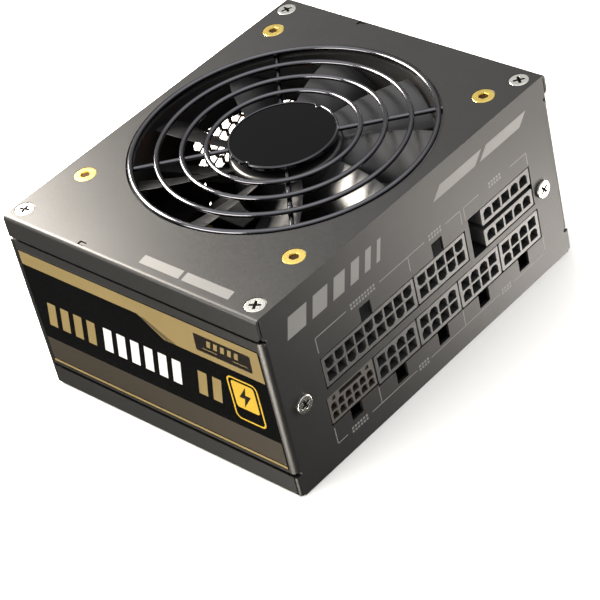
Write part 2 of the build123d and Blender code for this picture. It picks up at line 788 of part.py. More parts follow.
def make_bulk_capacitor():
    x, y, r, tall, groove = 39, -5, 14.8, 33.0, 3.0
    return can(x, y, r, tall, groove)


def make_output_capacitors():
    first_x, step, count, r, tall = -38.5, 11, 9, 4.0, 12.0
    y = modular_board_y + board + 11.0
    return [can(first_x + step * i, y, r, tall) for i in range(count)]


def transformer_place():
    """Middle of the main transformer, at the underside of its core."""
    return 3, -7, board_top + 1.5


def make_transformer_core():
    x, y, z = transformer_place()
    half_long, half_thick, tall = 16, 7, 25
    window_x, window_half, window_low, window_high = 8.6, 3.4, 4.5, 20.5
    body = block(x - half_long, x + half_long, y - half_thick, y + half_thick, z, z + tall)
    for sx in (-1, 1):
        mid = x + sx * window_x
        body = body - block(mid - window_half, mid + window_half, y - half_thick - 1, y + half_thick + 1,
                            z + window_low, z + window_high)
    return body


def make_transformer_winding():
    x, y, z = transformer_place()
    half_x, half_y, low, high = 11.5, 10.5, 4.9, 20.1
    slot_x, slot_y = 5.2, 7.05
    foot_x, foot_y, neck_in, neck_out = 14, 12, 7.4, 10.0
    coil = block(x - half_x, x + half_x, y - half_y, y + half_y, z + low, z + high)
    coil = fillet(coil.edges().filter_by(Axis.Z), 2.5)
    slot = block(x - slot_x, x + slot_x, y - slot_y, y + slot_y, z, z + high + 5)
    foot = block(x - foot_x, x + foot_x, y - foot_y, y + foot_y, board_top, z)
    front = block(x - half_x, x + half_x, y + neck_in, y + neck_out, z, z + low)
    rear = block(x - half_x, x + half_x, y - neck_out, y - neck_in, z, z + low)
    return coil - slot + foot + front + rear


def make_pfc_choke():
    """Ring core wound with copper, standing on its edge."""
    x, y, ring_r, wound_r = 42, 27, 9.6, 4.6
    z = board_top + ring_r + wound_r + 0.2
    return Pos(x, y, z) * Rot(0, 90, 0) * Torus(ring_r, wound_r)


def make_primary_heatsink():
    """Finned plate that cools the switching transistors."""
    left, right, front, rear, tall = -1, 30, 11, 14, 31
    fin, fin_step, fin_reach, fin_low, fin_count = 1.2, 4.5, 3.5, 8, 7
    body = block(left, right, front, rear, board_top, board_top + tall)
    for i in range(fin_count):
        x = left + 1.5 + fin_step * i
        body = body + block(x, x + fin, rear, rear + fin_reach, board_top + fin_low, board_top + tall)
    return body


def make_transistors():
    places, front, rear, low, high = (4, 14.5, 25), 7.6, 11, 9, 24
    half_wide, leg_step, leg_half = 4.5, 2.5, 0.4
    parts = []
    for x in places:
        case = block(x - half_wide, x + half_wide, front, rear, board_top + low, board_top + high)
        for dx in (-leg_step, 0, leg_step):
            case = case + block(x + dx - leg_half, x + dx + leg_half, front + 1.0, front + 1.5,
                                board_top, board_top + low)
        parts.append(case)
    return parts


def bridge_heatsink_face():
    """The plane where the rectifier stands against its heatsink."""
    return 32.4


def make_bridge_heatsink():
    left, right, thick, tall = 15, 33, 2.4, 27
    face = bridge_heatsink_face()
    return block(left, right, face - thick, face, board_top, board_top + tall)


def make_bridge_rectifier():
    left, right, thick, low, high = 16, 32, 3.8, 6, 20
    leg_half, leg_y = 0.5, 1.6
    face = bridge_heatsink_face()
    case = block(left, right, face, face + thick, board_top + low, board_top + high)
    for i in range(4):
        x = left + 2 + 4 * i
        leg_face = face + leg_y
        case = case + block(x - leg_half, x + leg_half, leg_face, leg_face + 0.8, board_top, board_top + low)
    return case


def make_line_chokes():
    """Two common-mode chokes: a wound ring standing in its case."""
    places = ((-46, 10), (-26, 14))
    half_x, half_y, foot, tall = 9, 6.5, 2, 20
    ring_r, wound_r, ring_z_up = 6.2, 3.0, 10.9
    chokes = []
    for x, y in places:
        base = block(x - half_x, x + half_x, y - half_y, y + half_y, board_top, board_top + foot)
        ring = Pos(x, y, board_top + ring_z_up) * Rot(90, 0, 0) * Torus(ring_r, wound_r)
        near, far = y - half_y + 0.5, y + half_y - 0.5
        wall = block(x - 0.8, x + 0.8, near, far, board_top + foot, board_top + tall)
        chokes.append(base + ring + wall)
    return chokes


def make_line_capacitors():
    """Boxed film capacitors across the mains."""
    places, half_x, half_y, tall = ((-10, 14), (-10, 23.5)), 6.5, 4, 13
    boxes = []
    for x, y in places:
        box = block(x - half_x, x + half_x, y - half_y, y + half_y, board_top, board_top + tall)
        boxes.append(fillet(box.edges().group_by(Axis.Z)[-1], 0.6))
    return boxes


def make_disc_capacitors():
    """Small safety capacitors and the surge limiter, discs on edge."""
    places, r, half_thick, centre_up = ((-54, 20), (-53, 1.5), (-33, 25), (6, 22)), 4.0, 1.4, 6.2
    leg_x, leg_half = 2.5, 0.3
    discs = []
    for x, y in places:
        body = bar_y(x, board_top + centre_up, y - half_thick, y + half_thick, r)
        for dx in (-leg_x, leg_x):
            body = body + block(x + dx - leg_half, x + dx + leg_half, y - leg_half, y + leg_half,
                                board_top, board_top + 4)
        discs.append(body)
    return discs


def make_fuse():
    left, right, y, r, up = -50, -38, 24.5, 2.4, 3.6
    leg, leg_in = 0.6, 0.6
    body = bar_x(y, board_top + up, left, right, r)
    for x in (left + leg_in, right - leg_in - leg):
        body = body + block(x, x + leg, y - leg / 2, y + leg / 2, board_top, board_top + 3)
    return body


def make_relay():
    left, right, front, rear, tall = 2, 12, 26, 44, 15
    box = block(left, right, front, rear, board_top, board_top + tall)
    return fillet(box.edges().group_by(Axis.Z)[-1], 0.5)


def small_transformer(x, y, core, wound, foot):
    """Core, wound coil and foot: each a half length, a half width and its height above the board."""
    core_x, core_y, core_top = core
    coil_x, coil_y, coil_low, coil_top, bend = wound
    foot_x, foot_y = foot
    body = block(x - core_x, x + core_x, y - core_y, y + core_y, board_top + 1, board_top + core_top)
    coil = block(x - coil_x, x + coil_x, y - coil_y, y + coil_y, board_top + coil_low, board_top + coil_top)
    base = block(x - foot_x, x + foot_x, y - foot_y, y + foot_y, board_top, board_top + 1)
    return body + fillet(coil.edges().filter_by(Axis.Z), bend) + base


def make_standby_transformer():
    return small_transformer(-49.5, -10, (7, 3, 14), (5.5, 6.5, 2.5, 12.5, 1.5), (7, 6))


def make_resonant_choke():
    return small_transformer(-24, -9, (9, 5, 17), (6.5, 8, 3, 15, 2.0), (9, 7))


def make_converter_board():
    """Upright board that makes the lower output voltages."""
    left, right, front, rear, tall = -36.6, -35.2, -19, 2, 26
    return block(left, right, front, rear, board_top, board_top + tall)


def make_converter_chokes():
    left, right, front, rear, side = -41.6, -36.6, -18, -9, 9
    blocks = []
    for low in (4, 15):
        box = block(left, right, front, rear, board_top + low, board_top + low + side)
        blocks.append(fillet(box.edges().filter_by(Axis.X), 0.8))
    return blocks


def make_control_board():
    left, right, front, rear, tall = 49.0, 50.2, 10, 34, 24
    return block(left, right, front, rear, board_top, board_top + tall)


# ---- mains inlet and switch ----

def make_inlet():
    """Three-pin appliance inlet that snaps into the mains wall."""
    flange_w, flange_h = inlet_w + 3.8, inlet_h + 4.2
    body = block(inlet_x - inlet_w / 2, inlet_x + inlet_w / 2, half_d - 17, half_d,
                 inlet_z - inlet_h / 2, inlet_z + inlet_h / 2)
    rim = block(inlet_x - flange_w / 2, inlet_x + flange_w / 2, half_d, half_d + 2.0,
                inlet_z - flange_h / 2, inlet_z + flange_h / 2)
    rim = fillet(rim.edges().filter_by(Axis.Y), 2.0)
    w, h, cut = 24.4, 16.4, 4.6
    mouth = Polygon((-w / 2, -h / 2), (w / 2, -h / 2), (w / 2, h / 2 - cut), (w / 2 - cut, h / 2),
                    (cut - w / 2, h / 2), (-w / 2, h / 2 - cut), align=None)
    body = body + rim - plate_y(mouth, inlet_x, half_d - 14.5, inlet_z, 18)
    slots = Sketch() + [Pos(dx, dz) * Rectangle(2.0, 4.0) for dx, dz in inlet_pin_offsets()]
    body = body - plate_y(slots, inlet_x, half_d - 18, inlet_z, 5)
    for sx in (-1, 1):
        x = inlet_x + sx * inlet_w / 2
        clip = block(min(x, x + sx * 0.9), max(x, x + sx * 0.9), half_d - 6, half_d - sheet - 0.1,
                     inlet_z - 3, inlet_z + 3)
        body = body + clip
    return body


def inlet_pin_offsets():
    return [(-7.0, -2.0), (7.0, -2.0), (0.0, 2.0)]


def make_inlet_pins():
    """Flat blades with solder tabs behind; the earth blade is the middle one."""
    pins = []
    for dx, dz in inlet_pin_offsets():
        x, z = inlet_x + dx, inlet_z + dz
        blade = block(x - 1, x + 1, half_d - 17.5, half_d - 1.5, z - 2, z + 2)
        tab = block(x - 0.4, x + 0.4, half_d - 24, half_d - 17.5, z - 2, z + 2)
        pins.append(blade + tab)
    return pins


def switch_body_size():
    return rocker_w + 2 * rocker_gap + 2 * switch_wall, 2 * (rocker_r + rocker_gap + switch_wall)


def make_switch_body():
    """Switch housing with a rocker well, pivot holes and a chamber for the contact bridge."""
    wide, tall = switch_body_size()
    x, z = switch_x, switch_z
    back = half_d - 15.0
    body = block(x - wide / 2, x + wide / 2, back, half_d, z - tall / 2, z + tall / 2)
    half_x, half_z = wide / 2 + 1.2, tall / 2 + 1.2
    rim = block(x - half_x, x + half_x, half_d, half_d + 1.6, z - half_z, z + half_z)
    rim = fillet(rim.edges().filter_by(Axis.Y), 1.0)
    body = body + rim
    well_w = rocker_w / 2 + rocker_gap
    well_h = rocker_r + rocker_gap
    floor_y = pivot_y - 6.0
    body = body - block(x - well_w, x + well_w, floor_y, half_d + 3, z - well_h, z + well_h)
    body = body - block(x - 3.0, x + 3.0, floor_y - 4.6, floor_y + 1, z - 7.4, z + 7.4)
    body = body - bar_x(pivot_y, z, x - wide / 2 - 1, x + wide / 2 + 1, 1.25)
    for dz in (0, 6.0):
        body = body - block(x - 2.4, x + 2.4, back - 1, back + 6, z + dz - 0.4, z + dz + 0.4)
    return body


def make_rocker():
    """Rocker with a shallow V face, round ends about its pivot and a nose that tips the bridge."""
    r = rocker_r
    dip = 2.2
    end_u = 3.4
    end_v = math.sqrt(r * r - end_u * end_u)
    back_u = -2.2
    back_v = math.sqrt(r * r - back_u * back_u)
    outline = Curve() + [Line((dip, 0), (end_u, end_v))] + [arc_about_pivot(end_u, back_u, r, 1)]
    outline = outline + [Line((back_u, back_v), (back_u, 1.4)), Line((back_u, 1.4), (-5.4, 0.7))]
    outline = outline + [Line((-5.4, 0.7), (-5.4, -0.7)), Line((-5.4, -0.7), (back_u, -1.4))]
    outline = outline + [Line((back_u, -1.4), (back_u, -back_v)), arc_about_pivot(back_u, end_u, r, -1)]
    outline = outline + [Line((end_u, -end_v), (dip, 0))]
    face = make_face(outline)
    solid = extrude(face, rocker_w / 2, both=True)
    body = solid + Cylinder(1.2, rocker_w + 2 * rocker_gap + 1.2)
    placed = Plane(origin=(0, 0, 0), x_dir=(0, 1, 0), z_dir=(1, 0, 0)) * body
    return Pos(switch_x, pivot_y, switch_z) * Rot(-rocker_throw / 2, 0, 0) * placed


def arc_about_pivot(u0, u1, r, sign):
    """Round end of the rocker, an arc about the pivot."""
    points = []
    for u in (u0, (u0 + u1) / 2, u1):
        points.append((u, sign * math.sqrt(r * r - u * u)))
    return ThreePointArc(*points)


def bridge_place():
    return switch_x, pivot_y - 7.6, switch_z


def make_contact_bridge():
    """See-saw contact on a round pivot, tipped by the rocker's nose."""
    x, y, z = bridge_place()
    wide, thin = 4.0, 0.6
    blade = Box(wide, thin, bridge_length)
    pivot = bar_x(y, z, x - wide / 2, x + wide / 2, bridge_pivot_r)
    return Pos(x, y, z) * Rot(bridge_tilt, 0, 0) * blade + pivot


def make_switch_terminals():
    """Blade terminals: one under the bridge's middle, one under its upper end."""
    _, y, z = bridge_place()
    back = half_d - 15.0
    middle = block(switch_x - 2.4, switch_x + 2.4, back - 6, y - 0.65, z - 0.4, z + 0.4)
    upper = block(switch_x - 2.4, switch_x + 2.4, back - 6, y - 1.5, z + 5.6, z + 6.4)
    return [middle, upper]


# ---- internal leads ----

def lead(points, radii, r):
    """A lead along straight runs joined by tangent arcs."""
    path = FilletPolyline(*points, radius=radii)
    section = Plane(origin=path @ 0, z_dir=path % 0) * Circle(r)
    return sweep(section, path)


def arc_radii(points, share=0.45):
    """The largest arc at each corner: a share of the shorter run over the tangent of half the turn."""
    radii = []
    for a, b, c in zip(points, points[1:], points[2:]):
        first = Vector(*b) - Vector(*a)
        second = Vector(*c) - Vector(*b)
        turn = math.radians(first.get_angle(second))
        radii.append(share * min(first.length, second.length) / math.tan(turn / 2))
    return radii


def mains_routes():
    """Neutral, line, switched and earth leads behind the mains wall."""
    tab_y = half_d - 24
    blade_y = half_d - 21
    line_z = inlet_z - 2
    neutral = [(inlet_x - 7, tab_y, line_z), (inlet_x - 7, tab_y - 6, line_z),
               (inlet_x - 6, tab_y - 7.5, line_z - 6), (inlet_x - 6, tab_y - 7.5, board_top)]
    line = [(inlet_x + 7, tab_y, line_z), (inlet_x + 7, tab_y - 4, line_z),
            (inlet_x + 13, tab_y - 3.5, line_z + 8), (switch_x - 5, blade_y - 6, switch_z + 9),
            (switch_x, blade_y - 5, switch_z + 6), (switch_x, blade_y, switch_z + 6)]
    switched = [(switch_x, blade_y, switch_z), (switch_x, blade_y - 5, switch_z),
                (switch_x + 6.5, blade_y - 7, switch_z + 2), (switch_x + 8.4, blade_y - 7, switch_z - 7),
                (switch_x + 8.4, blade_y - 7, board_top)]
    earth = [(inlet_x, tab_y, inlet_z + 2), (inlet_x, tab_y - 4, inlet_z + 2),
             (inlet_x + 4, tab_y - 2, inlet_z + 12), (inlet_x + 9, tab_y + 8, inlet_z + 17),
             (inlet_x + 9, half_d - 3.2, inlet_z + 17)]
    return [neutral, line, switched, earth]


def fan_route():
    """The fan's lead, down from the frame to its plug on the main board."""
    x = fan_x - fan_size / 2 + 6
    y = fan_y - 27
    return [(x, y, fan_bottom), (x, y, fan_bottom - 7), (x - 8, y, fan_bottom - 14),
            (plug_x, plug_y, board_top + 16), (plug_x, plug_y, board_top + plug_h)]


def make_lead(points):
    radii = arc_radii(points)
    print("lead arc radii", [round(r, 1) for r in radii])
    return lead(points, radii, lead_r)


def make_earth_stud():
    """Ring terminal and stud that bond the casing to earth."""
    x, z = inlet_x + 9, inlet_z + 17
    return bar_y(x, z, half_d - 3.2, half_d - sheet, 2.4)


def make_fan_plug():
    """The fan lead's plug on its header."""
    box = block(plug_x - 3, plug_x + 3, plug_y - 3, plug_y + 3, board_top, board_top + plug_h)
    return fillet(box.edges().group_by(Axis.Z)[-1], 0.5)


# ---- labels ----

def label_size():
    """Height of a side label's lower and upper edge, from the band it sits on."""
    return band_bottom + 0.9, band_top - 3.0


def make_side_label():
    z0, z1 = label_size()
    return block(-half_w - label, -half_w, -half_d + corner_bend, half_d - sheet - seam - 0.3, z0, z1)


def make_rating_label():
    z0, z1 = label_size()
    return block(half_w, half_w + label, -half_d + corner_bend, half_d - sheet - seam - 0.3, z0, z1)


os.makedirs("parts", exist_ok=True)

save("chassis", make_chassis())
save("rear_panel", make_rear_panel())
save("top_cover", make_cover())
save("cover_screws", *make_cover_screws())
save("panel_screws", *make_panel_screws())
save("fan_screws", *make_fan_screws())
save("finger_guard", make_guard())
save("guard_badge", make_badge())
save("fan_frame", make_fan_frame())
save("fan_bearing", make_bearing())
save("fan_shaft", make_shaft())
save("fan_rotor", make_rotor())
save("rotor_yoke", make_yoke())
save("rotor_magnet", make_magnet())
save("stator_core", make_stator())
save("stator_coils", *make_coils())
save("fan_motor_board", make_fan_board())
for name, (places, rows, side) in socket_layout().items():
    save(name, *[make_socket(x, z, rows, side) for x, z in places])
save("fine_socket", make_fine_socket())
save("socket_pins", *make_pins())
save("modular_board", make_modular_board())
save("board_posts", *make_board_posts())
save("main_board", make_main_board())
save("board_standoffs", *make_standoffs())
save("board_screws", *make_board_screws())
save("insulating_sheet", make_insulator())
save("output_straps", *make_board_links())
save("bulk_capacitor", make_bulk_capacitor())
save("output_capacitors", *make_output_capacitors())
save("transformer_core", make_transformer_core())
save("transformer_winding", make_transformer_winding())
save("ring_choke", make_pfc_choke())
save("heatsinks", make_primary_heatsink(), make_bridge_heatsink())
save("transistors", *make_transistors())
save("bridge_rectifier", make_bridge_rectifier())
save("line_chokes", *make_line_chokes())
save("line_capacitors", *make_line_capacitors())
save("disc_capacitors", *make_disc_capacitors())
save("fuse", make_fuse())
save("relay", make_relay())
save("small_transformers", make_standby_transformer(), make_resonant_choke())
save("riser_boards", make_converter_board(), make_control_board())
save("converter_chokes", *make_converter_chokes())
save("mains_inlet", make_inlet())
save("inlet_pins", *make_inlet_pins())
save("switch_body", make_switch_body())
save("switch_rocker", make_rocker())
save("contact_bridge", make_contact_bridge())
save("switch_terminals", *make_switch_terminals())
save("mains_leads", *[make_lead(points) for points in mains_routes()])
save("fan_lead", make_lead(fan_route()))
save("earth_stud", make_earth_stud())
save("fan_plug", make_fan_plug())
save("side_label", make_side_label())
save("rating_label", make_rating_label())
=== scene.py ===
import json
import math

import bmesh
import bpy
import numpy as np
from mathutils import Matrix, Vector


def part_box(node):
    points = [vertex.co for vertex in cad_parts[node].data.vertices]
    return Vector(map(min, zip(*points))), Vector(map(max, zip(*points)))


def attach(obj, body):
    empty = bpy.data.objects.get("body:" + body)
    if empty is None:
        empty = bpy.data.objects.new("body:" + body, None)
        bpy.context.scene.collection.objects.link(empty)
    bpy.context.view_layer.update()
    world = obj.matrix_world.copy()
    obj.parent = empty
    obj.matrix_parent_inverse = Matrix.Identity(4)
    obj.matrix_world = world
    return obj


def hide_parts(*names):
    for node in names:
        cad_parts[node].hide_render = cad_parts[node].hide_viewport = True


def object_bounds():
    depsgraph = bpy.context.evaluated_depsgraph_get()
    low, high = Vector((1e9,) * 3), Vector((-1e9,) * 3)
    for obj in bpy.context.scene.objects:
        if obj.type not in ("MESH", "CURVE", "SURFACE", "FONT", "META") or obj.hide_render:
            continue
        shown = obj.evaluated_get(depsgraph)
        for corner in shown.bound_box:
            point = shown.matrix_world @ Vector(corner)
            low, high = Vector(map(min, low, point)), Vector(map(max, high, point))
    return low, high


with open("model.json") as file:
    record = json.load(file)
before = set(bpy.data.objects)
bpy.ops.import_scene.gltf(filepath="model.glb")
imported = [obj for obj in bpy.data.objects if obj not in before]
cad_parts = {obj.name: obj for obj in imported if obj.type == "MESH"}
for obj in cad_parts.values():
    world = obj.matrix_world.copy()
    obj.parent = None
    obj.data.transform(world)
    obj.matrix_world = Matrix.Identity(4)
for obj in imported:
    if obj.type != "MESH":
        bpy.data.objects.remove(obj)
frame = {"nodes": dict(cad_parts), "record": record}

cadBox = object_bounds()
mm = 0.001
nodes = frame["nodes"]


def toLinear(hexColour):
    # each channel c of 0..1: c/12.92 when small, otherwise ((c + 0.055) / 1.055) to the power 2.4
    channels = np.array([int(hexColour[i:i + 2], 16) for i in (1, 3, 5)]) / 255
    linear = np.where(channels <= 0.04045, channels / 12.92, ((channels + 0.055) / 1.055) ** 2.4)
    return (*linear.tolist(), 1.0)


def addNode(tree, kind, settings=None, links=None):
    # one node with its fields and sockets set, each link given as socket -> the output that feeds it
    node = tree.nodes.new("ShaderNode" + kind)
    for key, value in (settings or {}).items():
        if isinstance(key, str) and hasattr(node, key):
            setattr(node, key, value)
        else:
            node.inputs[key].default_value = value
    for key, source in (links or {}).items():
        tree.links.new(source, node.inputs[key])
    return node


# materials: what each one is, how it was made, and what that gives the eye

finishes = {
    # powder coat with metal flake on folded steel: dark grey with a fine sparkle and a slight orange peel
    "painted_steel": {"name": "metallicPowderCoatedSteel", "base": "#3D3D3D", "shade": "#373737",
        "metallic": 0.85, "roughness": 0.42, "spread": 0.16, "grainMm": 0.35, "cloudMm": 24,
        "bumpMm": 0.010},
    # zinc on pressed steel screws: bright silver, faintly uneven
    "plated_steel": {"name": "zincPlatedSteel", "base": "#D9D7D0", "shade": "#B9B8B4", "metallic": 1.0,
        "roughness": 0.27, "spread": 0.12, "grainMm": 0.5, "cloudMm": 3, "bumpMm": 0.008},
    # yellow passivated steel: satin gold with slightly darker patches
    "gold_screw": {"name": "yellowPassivatedSteel", "base": "#EBD27C", "shade": "#CDAF55", "metallic": 1.0,
        "roughness": 0.3, "spread": 0.12, "grainMm": 0.4, "cloudMm": 2.5, "bumpMm": 0.008},
    # black nickel over drawn wire: dark mirror with long bright reflections
    "black_nickel": {"name": "blackNickelWire", "base": "#606064", "shade": "#4F4F53", "metallic": 1.0,
        "roughness": 0.14, "spread": 0.06, "grainMm": 0.6, "cloudMm": 9, "bumpMm": 0.004},
    # black anodised aluminium disc: satin, with a faint bead-blasted grain
    "badge_black": {"name": "anodisedBadge", "base": "#0E0E0F", "shade": "#0A0A0B", "metallic": 1.0,
        "roughness": 0.2, "spread": 0.06, "grainMm": 0.25, "cloudMm": 8, "bumpMm": 0.004},
    # glass-filled PBT, spark-eroded mould: dull black with fine texture
    "fan_plastic": {"name": "texturedPbt", "base": "#161616", "shade": "#101010", "roughness": 0.5,
        "spread": 0.15, "grainMm": 0.3, "cloudMm": 12, "bumpMm": 0.012, "ior": 1.55},
    # PBT from a polished mould: satin black, so the blades carry soft reflections of the lights
    "rotor_plastic": {"name": "polishedPbt", "base": "#19191A", "shade": "#131314", "roughness": 0.33,
        "spread": 0.06, "grainMm": 0.8, "cloudMm": 14, "bumpMm": 0.004, "ior": 1.57},
    # sintered bronze: porous brown metal
    "bronze": {"name": "sinteredBronze", "base": "#9A6F3E", "shade": "#74522C", "metallic": 1.0,
        "roughness": 0.5, "spread": 0.2, "grainMm": 0.25, "cloudMm": 2, "bumpMm": 0.02},
    # ground steel: grey and clean, with a fine grain
    "bare_steel": {"name": "groundSteel", "base": "#A2A2A2", "shade": "#8A8A8C", "metallic": 1.0,
        "roughness": 0.32, "spread": 0.12, "grainMm": 0.4, "cloudMm": 4, "bumpMm": 0.008},
    # sintered ferrite: dull charcoal with tiny pits
    "ferrite": {"name": "sinteredFerrite", "base": "#2B2B2E", "shade": "#1E1E20", "roughness": 0.62,
        "spread": 0.2, "grainMm": 0.3, "cloudMm": 5, "bumpMm": 0.03, "ior": 1.9},
    # enamelled copper: warm orange metal with a soft gloss
    "copper": {"name": "enamelledCopper", "base": "#B8683A", "shade": "#8E4A24", "metallic": 1.0,
        "roughness": 0.28, "spread": 0.1, "grainMm": 0.5, "cloudMm": 5, "bumpMm": 0.006},
    # solder mask on glass epoxy: dark green gloss with a faint lighter pattern
    "circuit_board": {"name": "solderMaskedEpoxy", "base": "#12291B", "shade": "#1D3F2A",
        "roughness": 0.34, "spread": 0.1, "grainMm": 0.8, "cloudMm": 3.2, "bumpMm": 0.02, "ior": 1.54},
    # moulded nylon 66: dark grey, slightly waxy, with an eroded-mould texture
    "socket_plastic": {"name": "mouldedNylon", "base": "#3A3A3A", "shade": "#303030", "roughness": 0.36,
        "spread": 0.14, "grainMm": 0.3, "cloudMm": 6, "bumpMm": 0.010, "ior": 1.53},
    # glass-filled heat-resistant nylon: browner and duller than its neighbours
    "fine_socket_plastic": {"name": "glassFilledNylon", "base": "#3C3834", "shade": "#2B2825",
        "roughness": 0.5, "spread": 0.15, "grainMm": 0.25, "cloudMm": 3, "bumpMm": 0.014, "ior": 1.57},
    # gold flash over nickel: pale yellow pins
    "contact_gold": {"name": "goldFlashedContact", "base": "#CDAA62", "shade": "#A98A4C", "metallic": 1.0,
        "roughness": 0.3, "spread": 0.1, "grainMm": 0.4, "cloudMm": 2, "bumpMm": 0.006},
    # turned brass: warm yellow with a soft shine
    "brass": {"name": "turnedBrass", "base": "#C4A057", "shade": "#9F7F3F", "metallic": 1.0,
        "roughness": 0.3, "spread": 0.12, "grainMm": 0.4, "cloudMm": 3, "bumpMm": 0.008},
    # polyester insulating film: thin, dark and slightly shiny
    "insulator_film": {"name": "polyesterFilm", "base": "#1E1E1E", "shade": "#171717", "roughness": 0.3,
        "spread": 0.12, "grainMm": 1.5, "cloudMm": 20, "bumpMm": 0.02, "ior": 1.6},
    # PET shrink sleeve: black gloss, drawn tight over the can
    "capacitor_sleeve": {"name": "shrinkSleevePet", "base": "#18191D", "shade": "#101114",
        "roughness": 0.22, "spread": 0.08, "grainMm": 1.2, "cloudMm": 8, "bumpMm": 0.01, "ior": 1.57},
    # deep-drawn aluminium: pale metal with a soft grain
    "aluminium_can": {"name": "drawnAluminium", "base": "#C4C5C8", "shade": "#A9AAAE", "metallic": 1.0,
        "roughness": 0.3, "spread": 0.12, "grainMm": 0.5, "cloudMm": 3, "bumpMm": 0.006},
    # polyester tape wound over a coil: yellow with a soft gloss
    "winding_tape": {"name": "woundPolyesterTape", "base": "#B9921F", "shade": "#8F6E12",
        "roughness": 0.34, "spread": 0.12, "grainMm": 1.0, "cloudMm": 5, "bumpMm": 0.03, "ior": 1.6},
    # extruded aluminium, anodised black: satin with a fine grain
    "black_aluminium": {"name": "anodisedExtrusion", "base": "#2A2A2C", "shade": "#1D1D1F",
        "metallic": 0.8, "roughness": 0.38, "spread": 0.12, "grainMm": 0.4, "cloudMm": 6, "bumpMm": 0.01},
    # transfer-moulded epoxy: dull black with a matte eroded face
    "epoxy_case": {"name": "mouldedEpoxy", "base": "#1B1B1C", "shade": "#131314", "roughness": 0.55,
        "spread": 0.15, "grainMm": 0.25, "cloudMm": 4, "bumpMm": 0.014, "ior": 1.55},
    # potted film capacitor box: yellow, slightly chalky plastic
    "film_box": {"name": "mouldedPolyesterBox", "base": "#B49C3C", "shade": "#93802C", "roughness": 0.45,
        "spread": 0.12, "grainMm": 0.4, "cloudMm": 6, "bumpMm": 0.012, "ior": 1.55},
    # dipped epoxy on a ceramic disc: thick blue gloss
    "ceramic_disc": {"name": "dippedEpoxy", "base": "#23457E", "shade": "#1A3360", "roughness": 0.24,
        "spread": 0.08, "grainMm": 1.0, "cloudMm": 4, "bumpMm": 0.03, "ior": 1.55},
    # moulded relay cover: black polyester with a soft sheen
    "relay_case": {"name": "mouldedPolyester", "base": "#1C1C1E", "shade": "#141416", "roughness": 0.4,
        "spread": 0.12, "grainMm": 0.4, "cloudMm": 6, "bumpMm": 0.01, "ior": 1.55},
    # moulded nylon of the inlet and switch: black with a light satin skin
    "black_nylon": {"name": "satinNylon", "base": "#1A1A1B", "shade": "#131314", "roughness": 0.38,
        "spread": 0.12, "grainMm": 0.35, "cloudMm": 8, "bumpMm": 0.010, "ior": 1.53},
    # extruded PVC insulation: smooth, slightly soft black
    "wire_jacket": {"name": "extrudedPvc", "base": "#1B1B1B", "shade": "#131313", "roughness": 0.34,
        "spread": 0.1, "grainMm": 0.6, "cloudMm": 5, "bumpMm": 0.01, "ior": 1.54},
    # laminated label film: black ink under a glossy clear layer
    "side_label_film": {"name": "laminatedLabelFilm", "base": "#020202", "shade": "#040404",
        "roughness": 0.16, "spread": 0.05, "grainMm": 1.2, "cloudMm": 30, "bumpMm": 0.003, "ior": 1.36},
    # printed film label: matte dark ink
    "rating_label_film": {"name": "mattLabelFilm", "base": "#1D1D1D", "shade": "#161616",
        "roughness": 0.46, "spread": 0.1, "grainMm": 0.5, "cloudMm": 20, "bumpMm": 0.005},
}


def makeFinish(look):
    # colour = base mixed to shade by a wide noise; roughness runs over its spread, centred on its value, as
    # a fine noise goes from 0.3 to 0.7; bump height = bumpMm times the same fine noise
    # (not a metal, and index 1.5, where a finish says nothing of these)
    material = bpy.data.materials.new(look["name"])
    material.use_nodes = True
    tree = material.node_tree
    shader = tree.nodes["Principled BSDF"]
    metallic = look.get("metallic", 0.0)
    shader.inputs["Metallic"].default_value = metallic
    if metallic < 1:
        shader.inputs["IOR"].default_value = look.get("ior", 1.5)
    place = addNode(tree, "TexCoord").outputs["Object"]
    cloud = addNode(tree, "TexNoise", {"Scale": 1 / (look["cloudMm"] * mm), "Detail": 3.0},
                    {"Vector": place})
    grain = addNode(tree, "TexNoise", {"Scale": 1 / (look["grainMm"] * mm), "Detail": 2.0},
                    {"Vector": place})
    colour = addNode(tree, "Mix", {"data_type": "RGBA", 6: toLinear(look["base"]),
                                   7: toLinear(look["shade"])})
    tree.links.new(cloud.outputs["Fac"], colour.inputs[0])
    tree.links.new(colour.outputs[2], shader.inputs["Base Color"])
    rough = addNode(tree, "MapRange", {"To Min": look["roughness"] - look["spread"] / 2,
                                       "To Max": look["roughness"] + look["spread"] / 2,
                                       "From Min": 0.3, "From Max": 0.7}, {"Value": grain.outputs["Fac"]})
    tree.links.new(rough.outputs["Result"], shader.inputs["Roughness"])
    bump = addNode(tree, "Bump", {"Distance": look["bumpMm"] * mm, "Strength": 1.0},
                   {"Height": grain.outputs["Fac"]})
    tree.links.new(bump.outputs["Normal"], shader.inputs["Normal"])
    return material


materials = {slotName: makeFinish(look) for slotName, look in finishes.items()}
for row in frame["record"]["subparts"]:
    mesh = nodes[row["node"]].data
    mesh.materials.clear()
    mesh.materials.append(materials[row["material_slot"]])
print("finishes", len(materials))


# surfaces on grids

mergeGap = 1e-7  # metres


def gridQuads(rows, cols, wrapRows, wrapCols):
    # the four corners of every cell of a grid numbered row by row; a direction that wraps has one cell more,
    # which leads back to the first row or column
    i = np.arange(rows if wrapRows else rows - 1)[:, None]
    j = np.arange(cols if wrapCols else cols - 1)[None, :]
    nextI, nextJ = (i + 1) % rows, (j + 1) % cols
    cell = [i * cols + j, nextI * cols + j, nextI * cols + nextJ, i * cols + nextJ]
    return np.stack([c.ravel() for c in np.broadcast_arrays(*cell)], axis=1)


